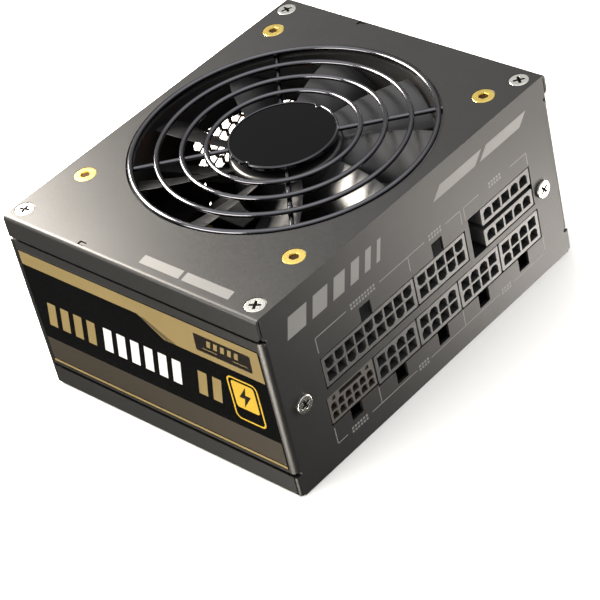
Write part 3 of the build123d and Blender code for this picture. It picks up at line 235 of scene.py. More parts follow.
def makePiece(name, points, faces, material, body, stands, sharpDeg=None):
    # a mesh with its faces turned outwards; where sharpDeg is given, points closer than mergeGap are merged
    # and the faces shaded smooth, apart from edges that turn by more than that angle
    mesh = bpy.data.meshes.new(name)
    mesh.from_pydata(points, [], faces)
    work = bmesh.new()
    work.from_mesh(mesh)
    if sharpDeg is not None:
        bmesh.ops.remove_doubles(work, verts=work.verts, dist=mergeGap)
    bmesh.ops.recalc_face_normals(work, faces=work.faces)
    work.to_mesh(mesh)
    work.free()
    if sharpDeg is not None:
        mesh.shade_smooth()
        mesh.set_sharp_from_angle(angle=math.radians(sharpDeg))
    piece = bpy.data.objects.new(name, mesh)
    bpy.context.scene.collection.objects.link(piece)
    mesh.materials.append(material)
    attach(piece, body)
    if stands:
        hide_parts(*stands)


def gridPiece(name, grids, material, body, stands=(), sharpDeg=35.0):
    # one mesh from several grids of points, each (points[rows, columns, 3], rows wrap, columns wrap);
    # every cell of a grid is a quad, and doubles at poles and seams are merged
    points, quads, start = [], [], 0
    for grid, wrapRows, wrapCols in grids:
        rows, cols = grid.shape[:2]
        quads.append(gridQuads(rows, cols, wrapRows, wrapCols) + start)
        points.append(grid.reshape(-1, 3))
        start += rows * cols
    makePiece(name, np.concatenate(points), np.concatenate(quads).tolist(), material, body, stands,
              sharpDeg)


def turned(profile, centre, steps=96, radiusOf=None):
    # a profile of (radius, height) carried round the vertical through centre:
    # point = centre + (r cos a, r sin a, h); radiusOf may change r with the angle
    angle = np.linspace(0, 2 * np.pi, steps, endpoint=False)
    r, h = np.array(profile, float).T
    r = np.broadcast_to(r[:, None], (len(r), steps))
    if radiusOf is not None:
        r = radiusOf(r, angle[None, :])
    return np.stack([centre[0] + r * np.cos(angle), centre[1] + r * np.sin(angle),
                     np.broadcast_to(centre[2] + h[:, None], r.shape)], axis=2)


def tube(path, r, steps=16, closed=False):
    # a round section of radius r carried along a path: at each point the section stands in the plane
    # of two directions at right angles to the path, one of them as near vertical as it can be
    path = np.array(path, float)
    if closed:
        along = np.roll(path, -1, axis=0) - np.roll(path, 1, axis=0)
    else:
        along = np.gradient(path, axis=0)
    along /= np.linalg.norm(along, axis=1)[:, None]
    aside = np.cross(along, [0, 0, 1.0])
    aside /= np.maximum(np.linalg.norm(aside, axis=1), 1e-9)[:, None]
    over = np.cross(aside, along)
    angle = np.linspace(0, 2 * np.pi, steps, endpoint=False)
    ring = r * (np.cos(angle)[None, :, None] * aside[:, None]
                + np.sin(angle)[None, :, None] * over[:, None])
    grid = path[:, None] + ring
    if not closed:
        ends = [np.repeat(end[:, None], steps, 1) for end in (path[:1], path[-1:])]
        grid = np.concatenate([ends[0], grid, ends[1]])
    return grid


def printPiece(name, outlines, back, front, toPlace, material, rings=(), stands=()):
    # each outline of (u, v) points as a thin closed prism between two depths: a face behind, a face in front
    # and a wall of quads between them; rings are closed lines already laid out as grids
    points, faces, start = [], [], 0
    for outline in outlines:
        outline = np.array(outline, float)
        n = len(outline)
        for depth in (back, front):
            points.append(toPlace(outline[:, 0], outline[:, 1], np.full(n, depth)) * mm)
        k = np.arange(n)
        faces += [(start + k[::-1]).tolist(), (start + n + k).tolist()]
        nextK = (k + 1) % n
        faces += np.stack([start + k, start + nextK, start + n + nextK, start + n + k], 1).tolist()
        start += 2 * n
    for grid in rings:
        rows, cols = grid.shape[:2]
        faces += (gridQuads(rows, cols, True, True) + start).tolist()
        points.append(grid.reshape(-1, 3) * mm)
        start += rows * cols
    makePiece(name, np.concatenate(points), faces, material, "case", stands)


def band(outline, halfWidth, back, front, toPlace):
    # a closed line of given half width round an outline: each point moved in and out along the
    # normal of its neighbours, at the back and at the front
    outline = np.array(outline, float)
    along = np.roll(outline, -1, axis=0) - np.roll(outline, 1, axis=0)
    normal = np.stack([along[:, 1], -along[:, 0]], axis=1) / np.linalg.norm(along, axis=1)[:, None]
    out, inn = outline + halfWidth * normal, outline - halfWidth * normal
    rows = [(out, back), (out, front), (inn, front), (inn, back)]
    return np.stack([toPlace(uv[:, 0], uv[:, 1], np.full(len(uv), d)) for uv, d in rows])


def roundedRectangle(u0, u1, v0, v1, r, lean=0.0, steps=8):
    # quarter circles of radius r at the four corners; each point is moved sideways by lean times its height
    # above the middle
    quarter = np.linspace(0, np.pi / 2, steps)
    corners = [(u1 - r, v1 - r, 0), (u0 + r, v1 - r, 1), (u0 + r, v0 + r, 2), (u1 - r, v0 + r, 3)]
    points = [np.stack([u + r * np.cos(quarter + k * np.pi / 2), v + r * np.sin(quarter + k * np.pi / 2)], 1)
              for u, v, k in corners]
    points = np.concatenate(points)
    points[:, 0] += lean * (points[:, 1] - (v0 + v1) / 2)
    return points


def boxMiddle(node):
    # half of the sum of a node's lowest and highest corner
    low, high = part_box(node)
    return (np.array(low) + np.array(high)) / 2


# finger guard and its badge

guard = {"ringRadiiMm": (45.1, 37.4, 29.9, 22.6), "wireMm": 0.8, "spokeMm": 0.75, "eyeletMm": 3.05,
         "screwPitchMm": 82.5, "spokeFromMm": 3.0, "ringSteps": 256, "eyeletSteps": 48, "spokeSteps": 24}
fanCentre = boxMiddle("fan_frame")
guardLow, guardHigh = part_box("finger_guard")
ringHeight = guardHigh.z - guard["wireMm"] * mm
spokeHeight = guardLow.z + guard["spokeMm"] * mm


def guardWires():
    # rings: circles of each radius; spokes: straight lines on the diagonals, each run into its eyelet
    grids = []
    turn = np.linspace(0, 2 * np.pi, guard["ringSteps"], endpoint=False)
    for radius in guard["ringRadiiMm"]:
        ring = np.stack([fanCentre[0] + radius * mm * np.cos(turn),
                         fanCentre[1] + radius * mm * np.sin(turn),
                         np.full_like(turn, ringHeight)], axis=1)
        grids.append((tube(ring, guard["wireMm"] * mm, closed=True), True, True))
    reach = guard["screwPitchMm"] / math.sqrt(2)
    loop = np.linspace(0, 2 * np.pi, guard["eyeletSteps"], endpoint=False)
    for k in range(4):
        diagonal = math.pi / 4 + k * math.pi / 2
        out = np.array([math.cos(diagonal), math.sin(diagonal)])
        side = np.array([-out[1], out[0]])
        along = np.linspace(guard["spokeFromMm"], reach - guard["eyeletMm"], guard["spokeSteps"]) * mm
        run = np.column_stack([fanCentre[:2] + along[:, None] * out, np.full(len(along), spokeHeight)])
        grids.append((tube(run, guard["spokeMm"] * mm), False, True))
        eye = fanCentre[:2] + mm * ((reach + guard["eyeletMm"] * np.cos(loop))[:, None] * out
                                    + (guard["eyeletMm"] * np.sin(loop))[:, None] * side)
        ring = np.column_stack([eye, np.full(len(eye), spokeHeight)])
        grids.append((tube(ring, guard["spokeMm"] * mm, closed=True), True, True))
    return grids


gridPiece("guard_wires", guardWires(), materials["black_nickel"], "case",
          ["finger_guard"])

badge = {"notchMm": 0.9, "rimMm": 0.55, "sinkMm": 0.18, "crownMm": 0.12, "followShare": 0.98, "steps": 360,
         # section of the rim: distance in from its outside and, from the bottom or the top, a height
         "rimLow": ((0.62, 0.1), (0.05, 0.1), (0, 0.2)),
         "rimHigh": ((0, 0.3), (0.22, 0), (0.5, 0), (0.62, 0.12))}
badgeLow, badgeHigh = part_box("guard_badge")
badgeRadius = max(badgeHigh.x - badgeLow.x, badgeHigh.y - badgeLow.y) / 2 / mm
badgeThick = (badgeHigh.z - badgeLow.z) / mm


def notchedRadius(r, angle):
    # the disc's edge is its radius R or, inside one of two notches of radius n, the near root of the circle
    # on the rim: R cos a - sqrt(n^2 - (R sin a)^2); rows further in keep at least followShare of their
    # distance to the edge
    across = badgeRadius * np.abs(np.sin(angle))
    inside = across < badge["notchMm"]
    edge = np.where(inside, badgeRadius * np.abs(np.cos(angle))
                    - np.sqrt(np.maximum(badge["notchMm"] ** 2 - across ** 2, 0)), badgeRadius)
    return np.minimum(r / mm, edge - (badgeRadius - r / mm) * badge["followShare"]) * mm


def badgeProfile():
    # a disc sunk a little below its rim: height = top - crown times (radius / inner radius)^2
    inner = badgeRadius - badge["rimMm"]
    top = badgeThick - badge["sinkMm"]
    spread = np.linspace(0, 1, 14)
    face = [(inner * s, top - badge["crownMm"] * s * s) for s in spread]
    return [(0, 0), (inner, 0)] + face[::-1]


badgeAt = (*boxMiddle("guard_badge")[:2], badgeLow.z)
plateGrid = turned(np.array(badgeProfile()) * mm, badgeAt, badge["steps"], notchedRadius)
gridPiece("badge_plate", [(plateGrid, False, True)], materials["badge_black"], "case",
          ["guard_badge"])
rimProfile = [(badgeRadius - r, h) for r, h in badge["rimLow"]]
rimProfile += [(badgeRadius - r, badgeThick - h) for r, h in badge["rimHigh"]]
rimGrid = turned(np.array(rimProfile) * mm, badgeAt, badge["steps"], notchedRadius)
gridPiece("badge_rim", [(rimGrid, True, True)], materials["black_nickel"], "case")
print("guard")


# fan rotor

rotor = {"hubMm": 17.0, "wallMm": 1.2, "bendMm": 1.2, "hubBelowMm": 1.0, "dishMm": (12.5, 12.2, 0.15),
         "bladeCount": 9, "leadDeg": 348.5, "thickMm": 1.25, "edgeShare": 0.45,
         # heights of the blades' low and high edges, above the frame's foot and below its top
         "bladeLowMm": 4.2, "bladeHighMm": 1.6,
         # radius, middle of the chord in degrees, half chord, drop of the low and high edge, bow
         "stations": ((16.4, -8.0, 4.9, 0.0, 0.6, 0.9), (30.0, -10.0, 6.6, 0.0, 0.0, 1.2),
                      (43.9, -13.3, 7.85, 0.55, 0.0, 1.3))}
rotorLow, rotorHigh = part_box("fan_rotor")
frameLow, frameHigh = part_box("fan_frame")
bladeLow = frameLow.z / mm + rotor["bladeLowMm"]
bladeHigh = frameHigh.z / mm - rotor["bladeHighMm"]


def bladeGrid(turnDeg):
    # at each radius the section is a bowed aerofoil: chord position c from -h to +h rising from the low to
    # the high edge, plus a bow of (1 - (c/h)^2) and half a thickness of sqrt(1 - (c/h)^2) on each side,
    # thinned towards the edges down to edgeShare; c is wrapped round the axis, so the tip follows the bore
    table = np.array(rotor["stations"])
    radius = np.linspace(table[0, 0], table[-1, 0], 28)
    curve = [np.polyval(np.polyfit(table[:, 0], table[:, k], 2), radius) for k in range(1, 6)]
    middle, half, lowDrop, highDrop, bow = [c[:, None] for c in curve]
    loop = np.linspace(0, 2 * np.pi, 48, endpoint=False)[None, :]
    chord = np.cos(loop)
    low, high = bladeLow + lowDrop, bladeHigh - highDrop
    length = np.hypot(2 * half, high - low)
    lean = np.arctan2(high - low, 2 * half)
    share = rotor["edgeShare"]
    off = (bow * (1 - chord ** 2)
           + 0.5 * rotor["thickMm"] * np.sin(loop) * (share + (1 - share) * (1 - chord ** 2)))
    along = chord * length / 2
    across = along * np.cos(lean) - off * np.sin(lean)
    height = (low + high) / 2 + along * np.sin(lean) + off * np.cos(lean)
    angle = np.radians(turnDeg + middle) + across / radius[:, None]
    grid = np.stack([fanCentre[0] + mm * radius[:, None] * np.cos(angle),
                     fanCentre[1] + mm * radius[:, None] * np.sin(angle),
                     np.broadcast_to(height * mm, angle.shape)], axis=2)
    closeRoot = np.repeat(grid[:1].mean(1, keepdims=True), grid.shape[1], 1)
    closeTip = np.repeat(grid[-1:].mean(1, keepdims=True), grid.shape[1], 1)
    return np.concatenate([closeRoot, grid, closeTip])


def hubProfile():
    # a cup: outside wall, shoulder rounded by a quarter circle, faintly dished top, then the inside wall
    top = rotorHigh.z / mm if rotorHigh.z < frameHigh.z else frameHigh.z / mm - rotor["hubBelowMm"]
    foot, r, bend = rotorLow.z / mm, rotor["hubMm"], rotor["bendMm"]
    arc = np.linspace(0, np.pi / 2, 9)
    shoulder = [(r - bend + bend * math.cos(a), top - bend + bend * math.sin(a)) for a in arc]
    inner = r - rotor["wallMm"]
    under = top - rotor["wallMm"]
    dishOuter, dishInner, dishDeep = rotor["dishMm"]
    dish = [(dishOuter, top), (dishInner, top - dishDeep), (6, top - dishDeep), (0, top - dishDeep)]
    return [(r, foot)] + shoulder + dish + [(0, under), (inner, under), (inner, foot)]


hubGrid = turned(np.array(hubProfile()) * mm, (fanCentre[0], fanCentre[1], 0), 128)
bladeGrids = [(bladeGrid(rotor["leadDeg"] + k * 360 / rotor["bladeCount"]), False, True)
              for k in range(rotor["bladeCount"])]
closedHub = np.concatenate([hubGrid, hubGrid[:1]])
gridPiece("rotor_hub_and_blades", [(closedHub, False, True)] + bladeGrids, materials["rotor_plastic"],
          "fan_rotor_body", ["fan_rotor"], 40)
print("rotor")


# screws

screwLooks = {
    # necks: (radius, height) of the steps below the head; thread: its radius, start and end
    "cover": {"headMm": 3.0, "crossMm": (3.4, 0.8), "deepMm": 1.0, "turnsDeg": (28, 50, 12, 65),
              "neckMm": ((3.0, -0.3), (1.5, -0.75)), "threadMm": (1.45, -0.9, -7.0)},
    "panel": {"headMm": 2.8, "crossMm": (3.1, 0.75), "deepMm": 0.7, "turnsDeg": (20, 35),
              "neckMm": ((2.8, -0.85), (1.5, -0.9)), "threadMm": (1.45, -1.0, -6.9)},
    "fan": {"headMm": 3.35, "hexMm": 1.35, "deepMm": 1.2, "neckMm": ((2.1, -1.4),),
            "threadMm": (2.0, -1.6, -8.5), "pitchMm": 0.8},
}
cross = {"steps": 144, "sideMm": 0.09, "endMm": 0.16, "shallower": 0.45, "rimShare": 0.1}


def smoothStep(x):
    # 3 x^2 - 2 x^3 between 0 and 1, level outside
    x = np.clip(x, 0, 1)
    return x * x * (3 - 2 * x)


def crossHead(look, turnDeg):
    # a polar grid over the head: height = minus the depth of the two crossed slots, each slot a smooth step
    # across its width and along its length, shallower towards its ends; the rim is a quarter circle
    head, rim = look["headMm"], cross["rimShare"]
    rimRows = 1 - rim + rim * np.sin(np.linspace(0.2, np.pi / 2, 6))
    r = head * np.concatenate([np.linspace(0, 1 - rim, 46), rimRows])
    angle = np.linspace(0, 2 * np.pi, cross["steps"], endpoint=False)
    x, y = r[:, None] * np.cos(angle), r[:, None] * np.sin(angle)
    length, width = look["crossMm"]
    slots = [smoothStep((width / 2 - np.abs(b)) / cross["sideMm"] + 0.5)
             * smoothStep((length / 2 - np.abs(a)) / cross["endMm"] + 0.5) for a, b in ((x, y), (y, x))]
    deep = look["deepMm"] * (1 - cross["shallower"] * np.hypot(x, y) / (length / 2))
    edge = np.clip((r - (1 - rim) * head) / (rim * head), 0, 1)[:, None]
    height = -np.maximum(*slots) * deep - rim * head * (1 - np.sqrt(1 - edge ** 2 * 0.999))
    turn = math.radians(turnDeg)
    return np.stack([x * math.cos(turn) - y * math.sin(turn), x * math.sin(turn) + y * math.cos(turn),
                     height], 2)


def threadRows(r, top, foot, pitchMm=0.75):
    # crest and root circles in turn, a step of half a pitch apart, then a narrower end closed on the axis
    levels = np.arange(top, foot, -pitchMm / 2)
    return [(r - 0.22 * (i % 2), h) for i, h in enumerate(levels)] + [(r - 0.35, foot), (0, foot)]


def crossScrew(look, turnDeg):
    # the head's grid, then circles of each (radius, height) of its neck and thread, ended on the axis
    angle = np.linspace(0, 2 * np.pi, cross["steps"], endpoint=False)
    tail = [np.stack([r * np.cos(angle), r * np.sin(angle), np.full(len(angle), h)], 1)
            for r, h in list(look["neckMm"]) + threadRows(*look["threadMm"])]
    return np.concatenate([crossHead(look, turnDeg), np.stack(tail)])


coverLow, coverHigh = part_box("cover_screws")
coverTop = coverHigh.z / mm
headMm = screwLooks["cover"]["headMm"]
coverPlaces = [(x, y) for y in (coverLow.y / mm + headMm, coverHigh.y / mm - headMm)
               for x in (coverLow.x / mm + headMm, coverHigh.x / mm - headMm)]
coverGrids = [((crossScrew(screwLooks["cover"], turnDeg) + (x, y, coverTop)) * mm, False, True)
              for (x, y), turnDeg in zip(coverPlaces, screwLooks["cover"]["turnsDeg"])]
gridPiece("cover_screw_heads", coverGrids, materials["plated_steel"], "case",
          ["cover_screws"], 50)
panelLow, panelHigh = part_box("panel_screws")
headMm = screwLooks["panel"]["headMm"]
panelZ = (panelLow.z + panelHigh.z) / 2 / mm
panelPlaces = (panelLow.x / mm + headMm, panelHigh.x / mm - headMm)
panelGrids = []
for x, turnDeg in zip(panelPlaces, screwLooks["panel"]["turnsDeg"]):
    local = crossScrew(screwLooks["panel"], turnDeg)
    placed = np.stack([x + local[..., 0], panelLow.y / mm - local[..., 2], panelZ + local[..., 1]], 2)
    panelGrids.append((placed * mm, False, True))
gridPiece("panel_screw_heads", panelGrids, materials["plated_steel"], "case",
          ["panel_screws"], 50)


def hexScrew(look):
    # rows out from the axis: socket floor, its wall, then the face; the socket's edge is a hexagon,
    # radius = apothem / cos(angle from the middle of its side), blended to the round rim
    angle = np.linspace(0, 2 * np.pi, cross["steps"], endpoint=False)
    side = look["hexMm"] / np.cos((angle + np.pi / 6) % (np.pi / 3) - np.pi / 6)
    head, deep = look["headMm"], look["deepMm"]
    rows = [(0 * side, -deep - 0.3), (side * 0.97, -deep), (side, -0.12), (side + 0.1, 0.0)]
    rows += [(side + 0.1 + (head - 0.3 - side) * s, 0.0) for s in (0.3, 0.6, 0.85)]
    rounds = [(head - 0.12, -0.02), (head, -0.14), (head, -0.2)] + list(look["neckMm"])
    rounds += threadRows(*look["threadMm"], look["pitchMm"])
    rows += [(np.full(len(angle), r), h) for r, h in rounds]
    return np.stack([np.stack([r * np.cos(angle), r * np.sin(angle), np.full(len(angle), h)], 1)
                     for r, h in rows])


fanScrewLow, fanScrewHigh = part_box("fan_screws")
headMm = screwLooks["fan"]["headMm"]
fanPlaces = [(x, y) for x in (fanScrewLow.x / mm + headMm, fanScrewHigh.x / mm - headMm)
             for y in (fanScrewLow.y / mm + headMm, fanScrewHigh.y / mm - headMm)]
fanGrids = [((hexScrew(screwLooks["fan"]) + (x, y, fanScrewHigh.z / mm)) * mm, False, True)
            for x, y in fanPlaces]
gridPiece("fan_screw_heads", fanGrids, materials["gold_screw"], "case", ["fan_screws"], 40)
print("screws")


# printed label and marks

inks = {
    # metallised gold ink: satin gold that lightens and darkens along the label
    "gold": {"name": "metallisedGoldInk", "base": "#70623E", "shade": "#5B4E2E", "metallic": 0.35,
        "roughness": 0.4, "spread": 0.08, "grainMm": 0.3, "cloudMm": 40, "bumpMm": 0.002},
    # the same ink printed thin over black: brown gold
    "brown": {"name": "thinnedGoldInk", "base": "#2C271F", "shade": "#1E1A13", "metallic": 0.3,
        "roughness": 0.42, "spread": 0.08, "grainMm": 0.3, "cloudMm": 55, "bumpMm": 0.002},
    # opaque white ink under the laminate: a clean light tone, slightly soft
    "white": {"name": "opaqueWhiteInk", "base": "#8E8E8E", "shade": "#868685", "roughness": 0.38,
        "spread": 0.06, "grainMm": 0.3, "cloudMm": 30, "bumpMm": 0.002},
    # dark brown ink block
    "dark": {"name": "darkBrownInk", "base": "#0C0705", "shade": "#080503", "roughness": 0.3,
        "spread": 0.06, "grainMm": 0.3, "cloudMm": 20, "bumpMm": 0.002},
    # two layers of the brown ink, nearly black
    "shade": {"name": "doubledBrownInk", "base": "#15110A", "shade": "#0F0C07", "roughness": 0.4,
        "spread": 0.06, "grainMm": 0.3, "cloudMm": 20, "bumpMm": 0.002},
    # signal yellow ink
    "yellow": {"name": "signalYellowInk", "base": "#8F751A", "shade": "#806712", "metallic": 0.15,
        "roughness": 0.36, "spread": 0.06, "grainMm": 0.3, "cloudMm": 12, "bumpMm": 0.002},
    # pad-printed light grey on the paint: flat, slightly grainy
    "grey": {"name": "padPrintedGreyInk", "base": "#60605F", "shade": "#565655", "roughness": 0.5,
        "spread": 0.1, "grainMm": 0.3, "cloudMm": 15, "bumpMm": 0.003},
}
inkMaterials = {key: makeFinish(look) for key, look in inks.items()}
boxLow, boxHigh = (np.array(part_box("chassis")[k]) / mm for k in (0, 1))
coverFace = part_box("top_cover")[1].z / mm


def onLeftSide(u, v, d):
    # u runs towards -Y, so that it reads left to right from outside; d stands out along -X
    return np.stack([boxLow[0] - d, -u, v], 1)


def onRightSide(u, v, d):
    # u runs along +Y and d stands out along +X
    return np.stack([boxHigh[0] + d, u, v], 1)


def onPanel(u, v, d):
    # u runs along +X and d stands out along -Y
    return np.stack([u, boxLow[1] - d, v], 1)


def onTop(u, v, d):
    # u runs along +X, v along +Y and d stands up from the cover's face
    return np.stack([u, v, coverFace + d], 1)


def slanted(u0, u1, v0, v1, lean):
    # a four-cornered bar whose upper edge is moved along by lean times its height
    shift = lean * (v1 - v0)
    return [(u0, v0), (u1, v0), (u1 + shift, v1), (u0 + shift, v1)]


def strokes(corners, width):
    # a line of given width along each leg of a run of points, each leg a rectangle with square ends
    legs = []
    for a, b in zip(corners, corners[1:]):
        a, b = np.array(a, float), np.array(b, float)
        along = (b - a) / np.linalg.norm(b - a) * width / 2
        side = np.array([-along[1], along[0]])
        legs.append([a - along - side, b + along - side, b + along + side, a - along + side])
    return legs


sideArt = {"left": -48.2, "right": 47.9, "low": 9.6, "high": 52.2, "filmMm": 0.10, "inkMm": 0.04,
           "stripeLow": 47.0, "blockLow": 41.0, "bandLow": 11.3, "bandHigh": 19.5, "bendAt": 0.0,
           "bendTo": 9.0, "marginMm": 0.4, "barLow": 25.4, "barHigh": 34.6, "barMm": 3.4,
           "barStep": 5.6, "barLean": 0.22}
film = sideArt["filmMm"]
inked = film + sideArt["inkMm"]
filmOutline = roundedRectangle(sideArt["left"], sideArt["right"], sideArt["low"], sideArt["high"], 0.8)
printPiece("side_label_film", [filmOutline], 0.0, film, onLeftSide, materials["side_label_film"],
           stands=["side_label"])
artLeft, artRight = sideArt["left"] + sideArt["marginMm"], sideArt["right"] - sideArt["marginMm"]
artHigh = sideArt["high"] - 0.3


def labelBars(first, count):
    # leaning bars of one width, each barStep further along
    starts = [first + sideArt["barStep"] * k for k in range(count)]
    return [slanted(u, u + sideArt["barMm"], sideArt["barLow"], sideArt["barHigh"], sideArt["barLean"])
            for u in starts]


goldField = [(artLeft, sideArt["stripeLow"]), (sideArt["bendAt"], sideArt["stripeLow"]),
             (sideArt["bendTo"], sideArt["blockLow"]), (artRight, sideArt["blockLow"]), (artRight, artHigh),
             (artLeft, artHigh)]
goldLine = [(artLeft, 10.0), (artRight, 10.0), (artRight, 10.9), (artLeft, 10.9)]
printPiece("label_gold_field", [goldField, goldLine] + labelBars(-44, 4) + labelBars(18.0, 2), film, inked,
           onLeftSide, inkMaterials["gold"])
printPiece("label_white_bars", labelBars(-20.2, 6), film, inked, onLeftSide, inkMaterials["white"])
bandOutline = [(artLeft, sideArt["bandLow"]), (artRight, sideArt["bandLow"]), (artRight, sideArt["bandHigh"]),
               (artLeft, sideArt["bandHigh"])]
printPiece("label_brown_band", [bandOutline], film, inked, onLeftSide, inkMaterials["brown"])
stripeTop = sideArt["stripeLow"] - 0.6
shadeStripes = [[(sideArt["bendAt"] + 0.9 + 0.5 * k, stripeTop),
                 (sideArt["bendAt"] + 1.3 + 0.5 * k, stripeTop),
                 (sideArt["bendTo"] + 1.9 + 1.5 * k, sideArt["blockLow"]),
                 (sideArt["bendTo"] + 1.0 + 1.5 * k, sideArt["blockLow"])] for k in range(3)]
printPiece("label_shade_stripes", shadeStripes, inked, inked + 0.01, onLeftSide, inkMaterials["shade"])
plaque = roundedRectangle(22.5, 43.8, 43.1, 49.3, 0.6, lean=0.06)
printPiece("label_plaque", [plaque], inked, inked + 0.01, onLeftSide, inkMaterials["dark"])
plaqueLines = strokes([(25, 44.6), (30.5, 44.6)], 0.25) + strokes([(36.5, 44.6), (41.8, 44.6)], 0.25)
plaqueLines += [slanted(27.0 + 2.6 * k, 28.4 + 2.6 * k, 45.8, 48.2, 0.25) for k in range(5)]
printPiece("label_plaque_lines", plaqueLines, inked + 0.01, inked + 0.016, onLeftSide, inkMaterials["gold"])
sealRing = band(roundedRectangle(32.0, 43.0, 22.8, 38.0, 1.8), 0.28, film, inked, onLeftSide)
sealField = roundedRectangle(33.2, 41.8, 27.2, 36.9, 1.0)
printPiece("label_seal", [sealField], film, inked, onLeftSide, inkMaterials["yellow"],
           rings=[sealRing])
bolt = [(38.6, 36.1), (35.2, 31.4), (37.3, 31.4), (36.3, 28.0), (39.9, 32.9), (37.8, 32.9)]
printPiece("label_seal_bolt", [bolt], inked, inked + 0.01, onLeftSide, inkMaterials["dark"])

ratingArt = {"lineMm": 0.3}
printPiece("rating_label_film", [roundedRectangle(-47.9, 48.2, 9.6, 52.2, 0.8)], 0.0, film, onRightSide,
           materials["rating_label_film"], stands=["rating_label"])
tableLines = [[(-45, z), (45.4, z)] for z in (14, 20, 26, 32, 38)]
tableLines += [[(x, 14), (x, 38)] for x in (-45, -30, -15, 0, 15, 30, 45.4)]
ruled = [leg for line in tableLines for leg in strokes(line, ratingArt["lineMm"])]
ruled += [[(-45, 43), (10, 43), (10, 48), (-45, 48)]]
printPiece("rating_label_table", ruled, film, inked, onRightSide, inkMaterials["grey"])

padInk = 0.02  # mm
topMarks = [[(-59.0, -2.9), (-55.6, -2.3), (-55.6, -17.5), (-59.0, -18.1)],
            [(-59.0, -19.3), (-55.6, -18.7), (-55.6, -36.3), (-59.0, -36.9)]]
printPiece("top_marks", topMarks, 0.0, padInk, onTop, inkMaterials["grey"])


def dots(x, z, cols, rows, step=1.2, size=0.75):
    # a small sign for a socket: a square for each of its contacts, a step apart and centred on (x, z)
    places = [(x + (i - (cols - 1) / 2) * step, z + (j - (rows - 1) / 2) * step)
              for i in range(cols) for j in range(rows)]
    h = size / 2
    return [[(u - h, v - h), (u + h, v - h), (u + h, v + h), (u - h, v + h)] for u, v in places]


bracketMm = 0.3
brackets = [[(-44.2, 39.2), (-44.2, 44.2), (-31.5, 44.2)], [(-17.0, 44.2), (-4.8, 44.2), (-4.8, 39.4)],
            [(-4.8, 44.2), (2.4, 44.2)], [(12.1, 44.2), (18.5, 44.2), (18.5, 39.6)],
            [(20.1, 39.9), (20.1, 44.2), (27.0, 44.2)], [(42.0, 44.2), (49.3, 44.2), (49.3, 40.2)],
            [(-45.2, 12.4), (-45.2, 6.7), (-41.2, 6.7)], [(-30.2, 6.7), (-26.0, 6.7), (-26.0, 12.4)],
            [(-26.0, 6.7), (-10.5, 6.7)], [(-3.6, 6.7), (12.2, 6.7), (12.2, 12.4)],
            [(12.2, 6.7), (28.2, 6.7)], [(35.0, 6.7), (50.7, 6.7), (50.7, 12.4)]]
panelMarks = [leg for run in brackets for leg in strokes(run, bracketMm)]
for x, z, cols, rows in ((-24.3, 44.2, 9, 2), (7.25, 44.2, 5, 2), (34.5, 44.2, 5, 2), (-35.7, 6.7, 6, 2),
                         (-7.1, 6.7, 4, 2), (31.6, 6.7, 4, 2)):
    panelMarks += dots(x, z, cols, rows)
panelMarks += [slanted(9.0, 27.8, 53.7, 57.4, 1.0), slanted(30.0, 48.4, 53.7, 57.4, 1.0)]
taper = (7.5, 6.0, 4.6, 3.4, 2.4, 1.5)
starts = -53.5 + np.concatenate([[0], np.cumsum(np.array(taper[:-1]) + 2.6)])
panelMarks += [slanted(u, u + w, 50.4, 57.0, 0.3) for u, w in zip(starts, taper)]
printPiece("panel_marks", panelMarks, 0.0, padInk, onPanel, inkMaterials["grey"])
print("prints")

# painted shade: dark strips in the side seams, dark caps in the screw recesses, a dark sheet behind the vent

paintedShadeLooks = {
    # painted shade in the side seams: black, no shine, for the shadow deep in the slits between the sheets
    "seamShade": {"name": "paintedSeamShade", "base": "#030303", "shade": "#020202", "roughness": 0.9,
        "spread": 0.1, "grainMm": 0.5, "cloudMm": 6, "bumpMm": 0.03, "ior": 1.05},
    # painted shade in the cross recesses of the silver screws: black and matte
    "recessShade": {"name": "paintedRecessShade", "base": "#060605", "shade": "#040403", "roughness": 0.7,
        "spread": 0.1, "grainMm": 0.3, "cloudMm": 2, "bumpMm": 0.01, "ior": 1.08},
    # painted shade in the hex sockets of the yellow screws: dark brown and partly metallic, so it takes a
    # dull reflection
    "hexShade": {"name": "paintedHexShade", "base": "#3C2509", "shade": "#241505", "metallic": 0.7,
        "roughness": 0.5, "spread": 0.1, "grainMm": 0.3, "cloudMm": 2, "bumpMm": 0.01, "ior": 1.2},
    # painted shade: a black sheet behind the low part of the vent, so the vent seen through the fan stays
    # dark
    "ventShade": {"name": "paintedVentShadeSheet", "base": "#070707", "shade": "#040404", "roughness": 0.45,
        "spread": 0.1, "grainMm": 1.5, "cloudMm": 12, "bumpMm": 0.02, "ior": 1.3},
}
seamShade, recessShade, hexShade, ventShade = (makeFinish(paintedShadeLooks[key]) for key in ("seamShade", "recessShade", "hexShade", "ventShade"))
seams = {"backMm": -0.45, "frontMm": -0.12, "insetMm": 3.0, "lowMm": (7.5, 8.45), "highDropMm": 8.15,
         "highWideMm": 0.75}
farWall = 1000  # added to the first coordinate of what goes on the right wall


def onBothSides(u, v, d):
    # points go on the left wall, and those with farWall added to u on the right wall; d stands out from both
    onRight = u > farWall / 2
    side = np.where(onRight, 1.0, -1.0)
    return np.stack([side * (boxHigh[0] + d), np.where(onRight, u - farWall, u), v], 1)


highSeam = coverFace - seams["highDropMm"]
seamFrom, seamTo = boxLow[1] + seams["insetMm"], boxHigh[1] - seams["insetMm"]
seamOutlines = [[(seamFrom + wall, z0), (seamTo + wall, z0), (seamTo + wall, z1), (seamFrom + wall, z1)]
                for z0, z1 in (seams["lowMm"], (highSeam, highSeam + seams["highWideMm"]))
                for wall in (0, farWall)]
# black strips set into the side seams: painted shade where the slits fall into shadow
printPiece("seam_painted_shade", seamOutlines, seams["backMm"], seams["frontMm"], onBothSides, seamShade)

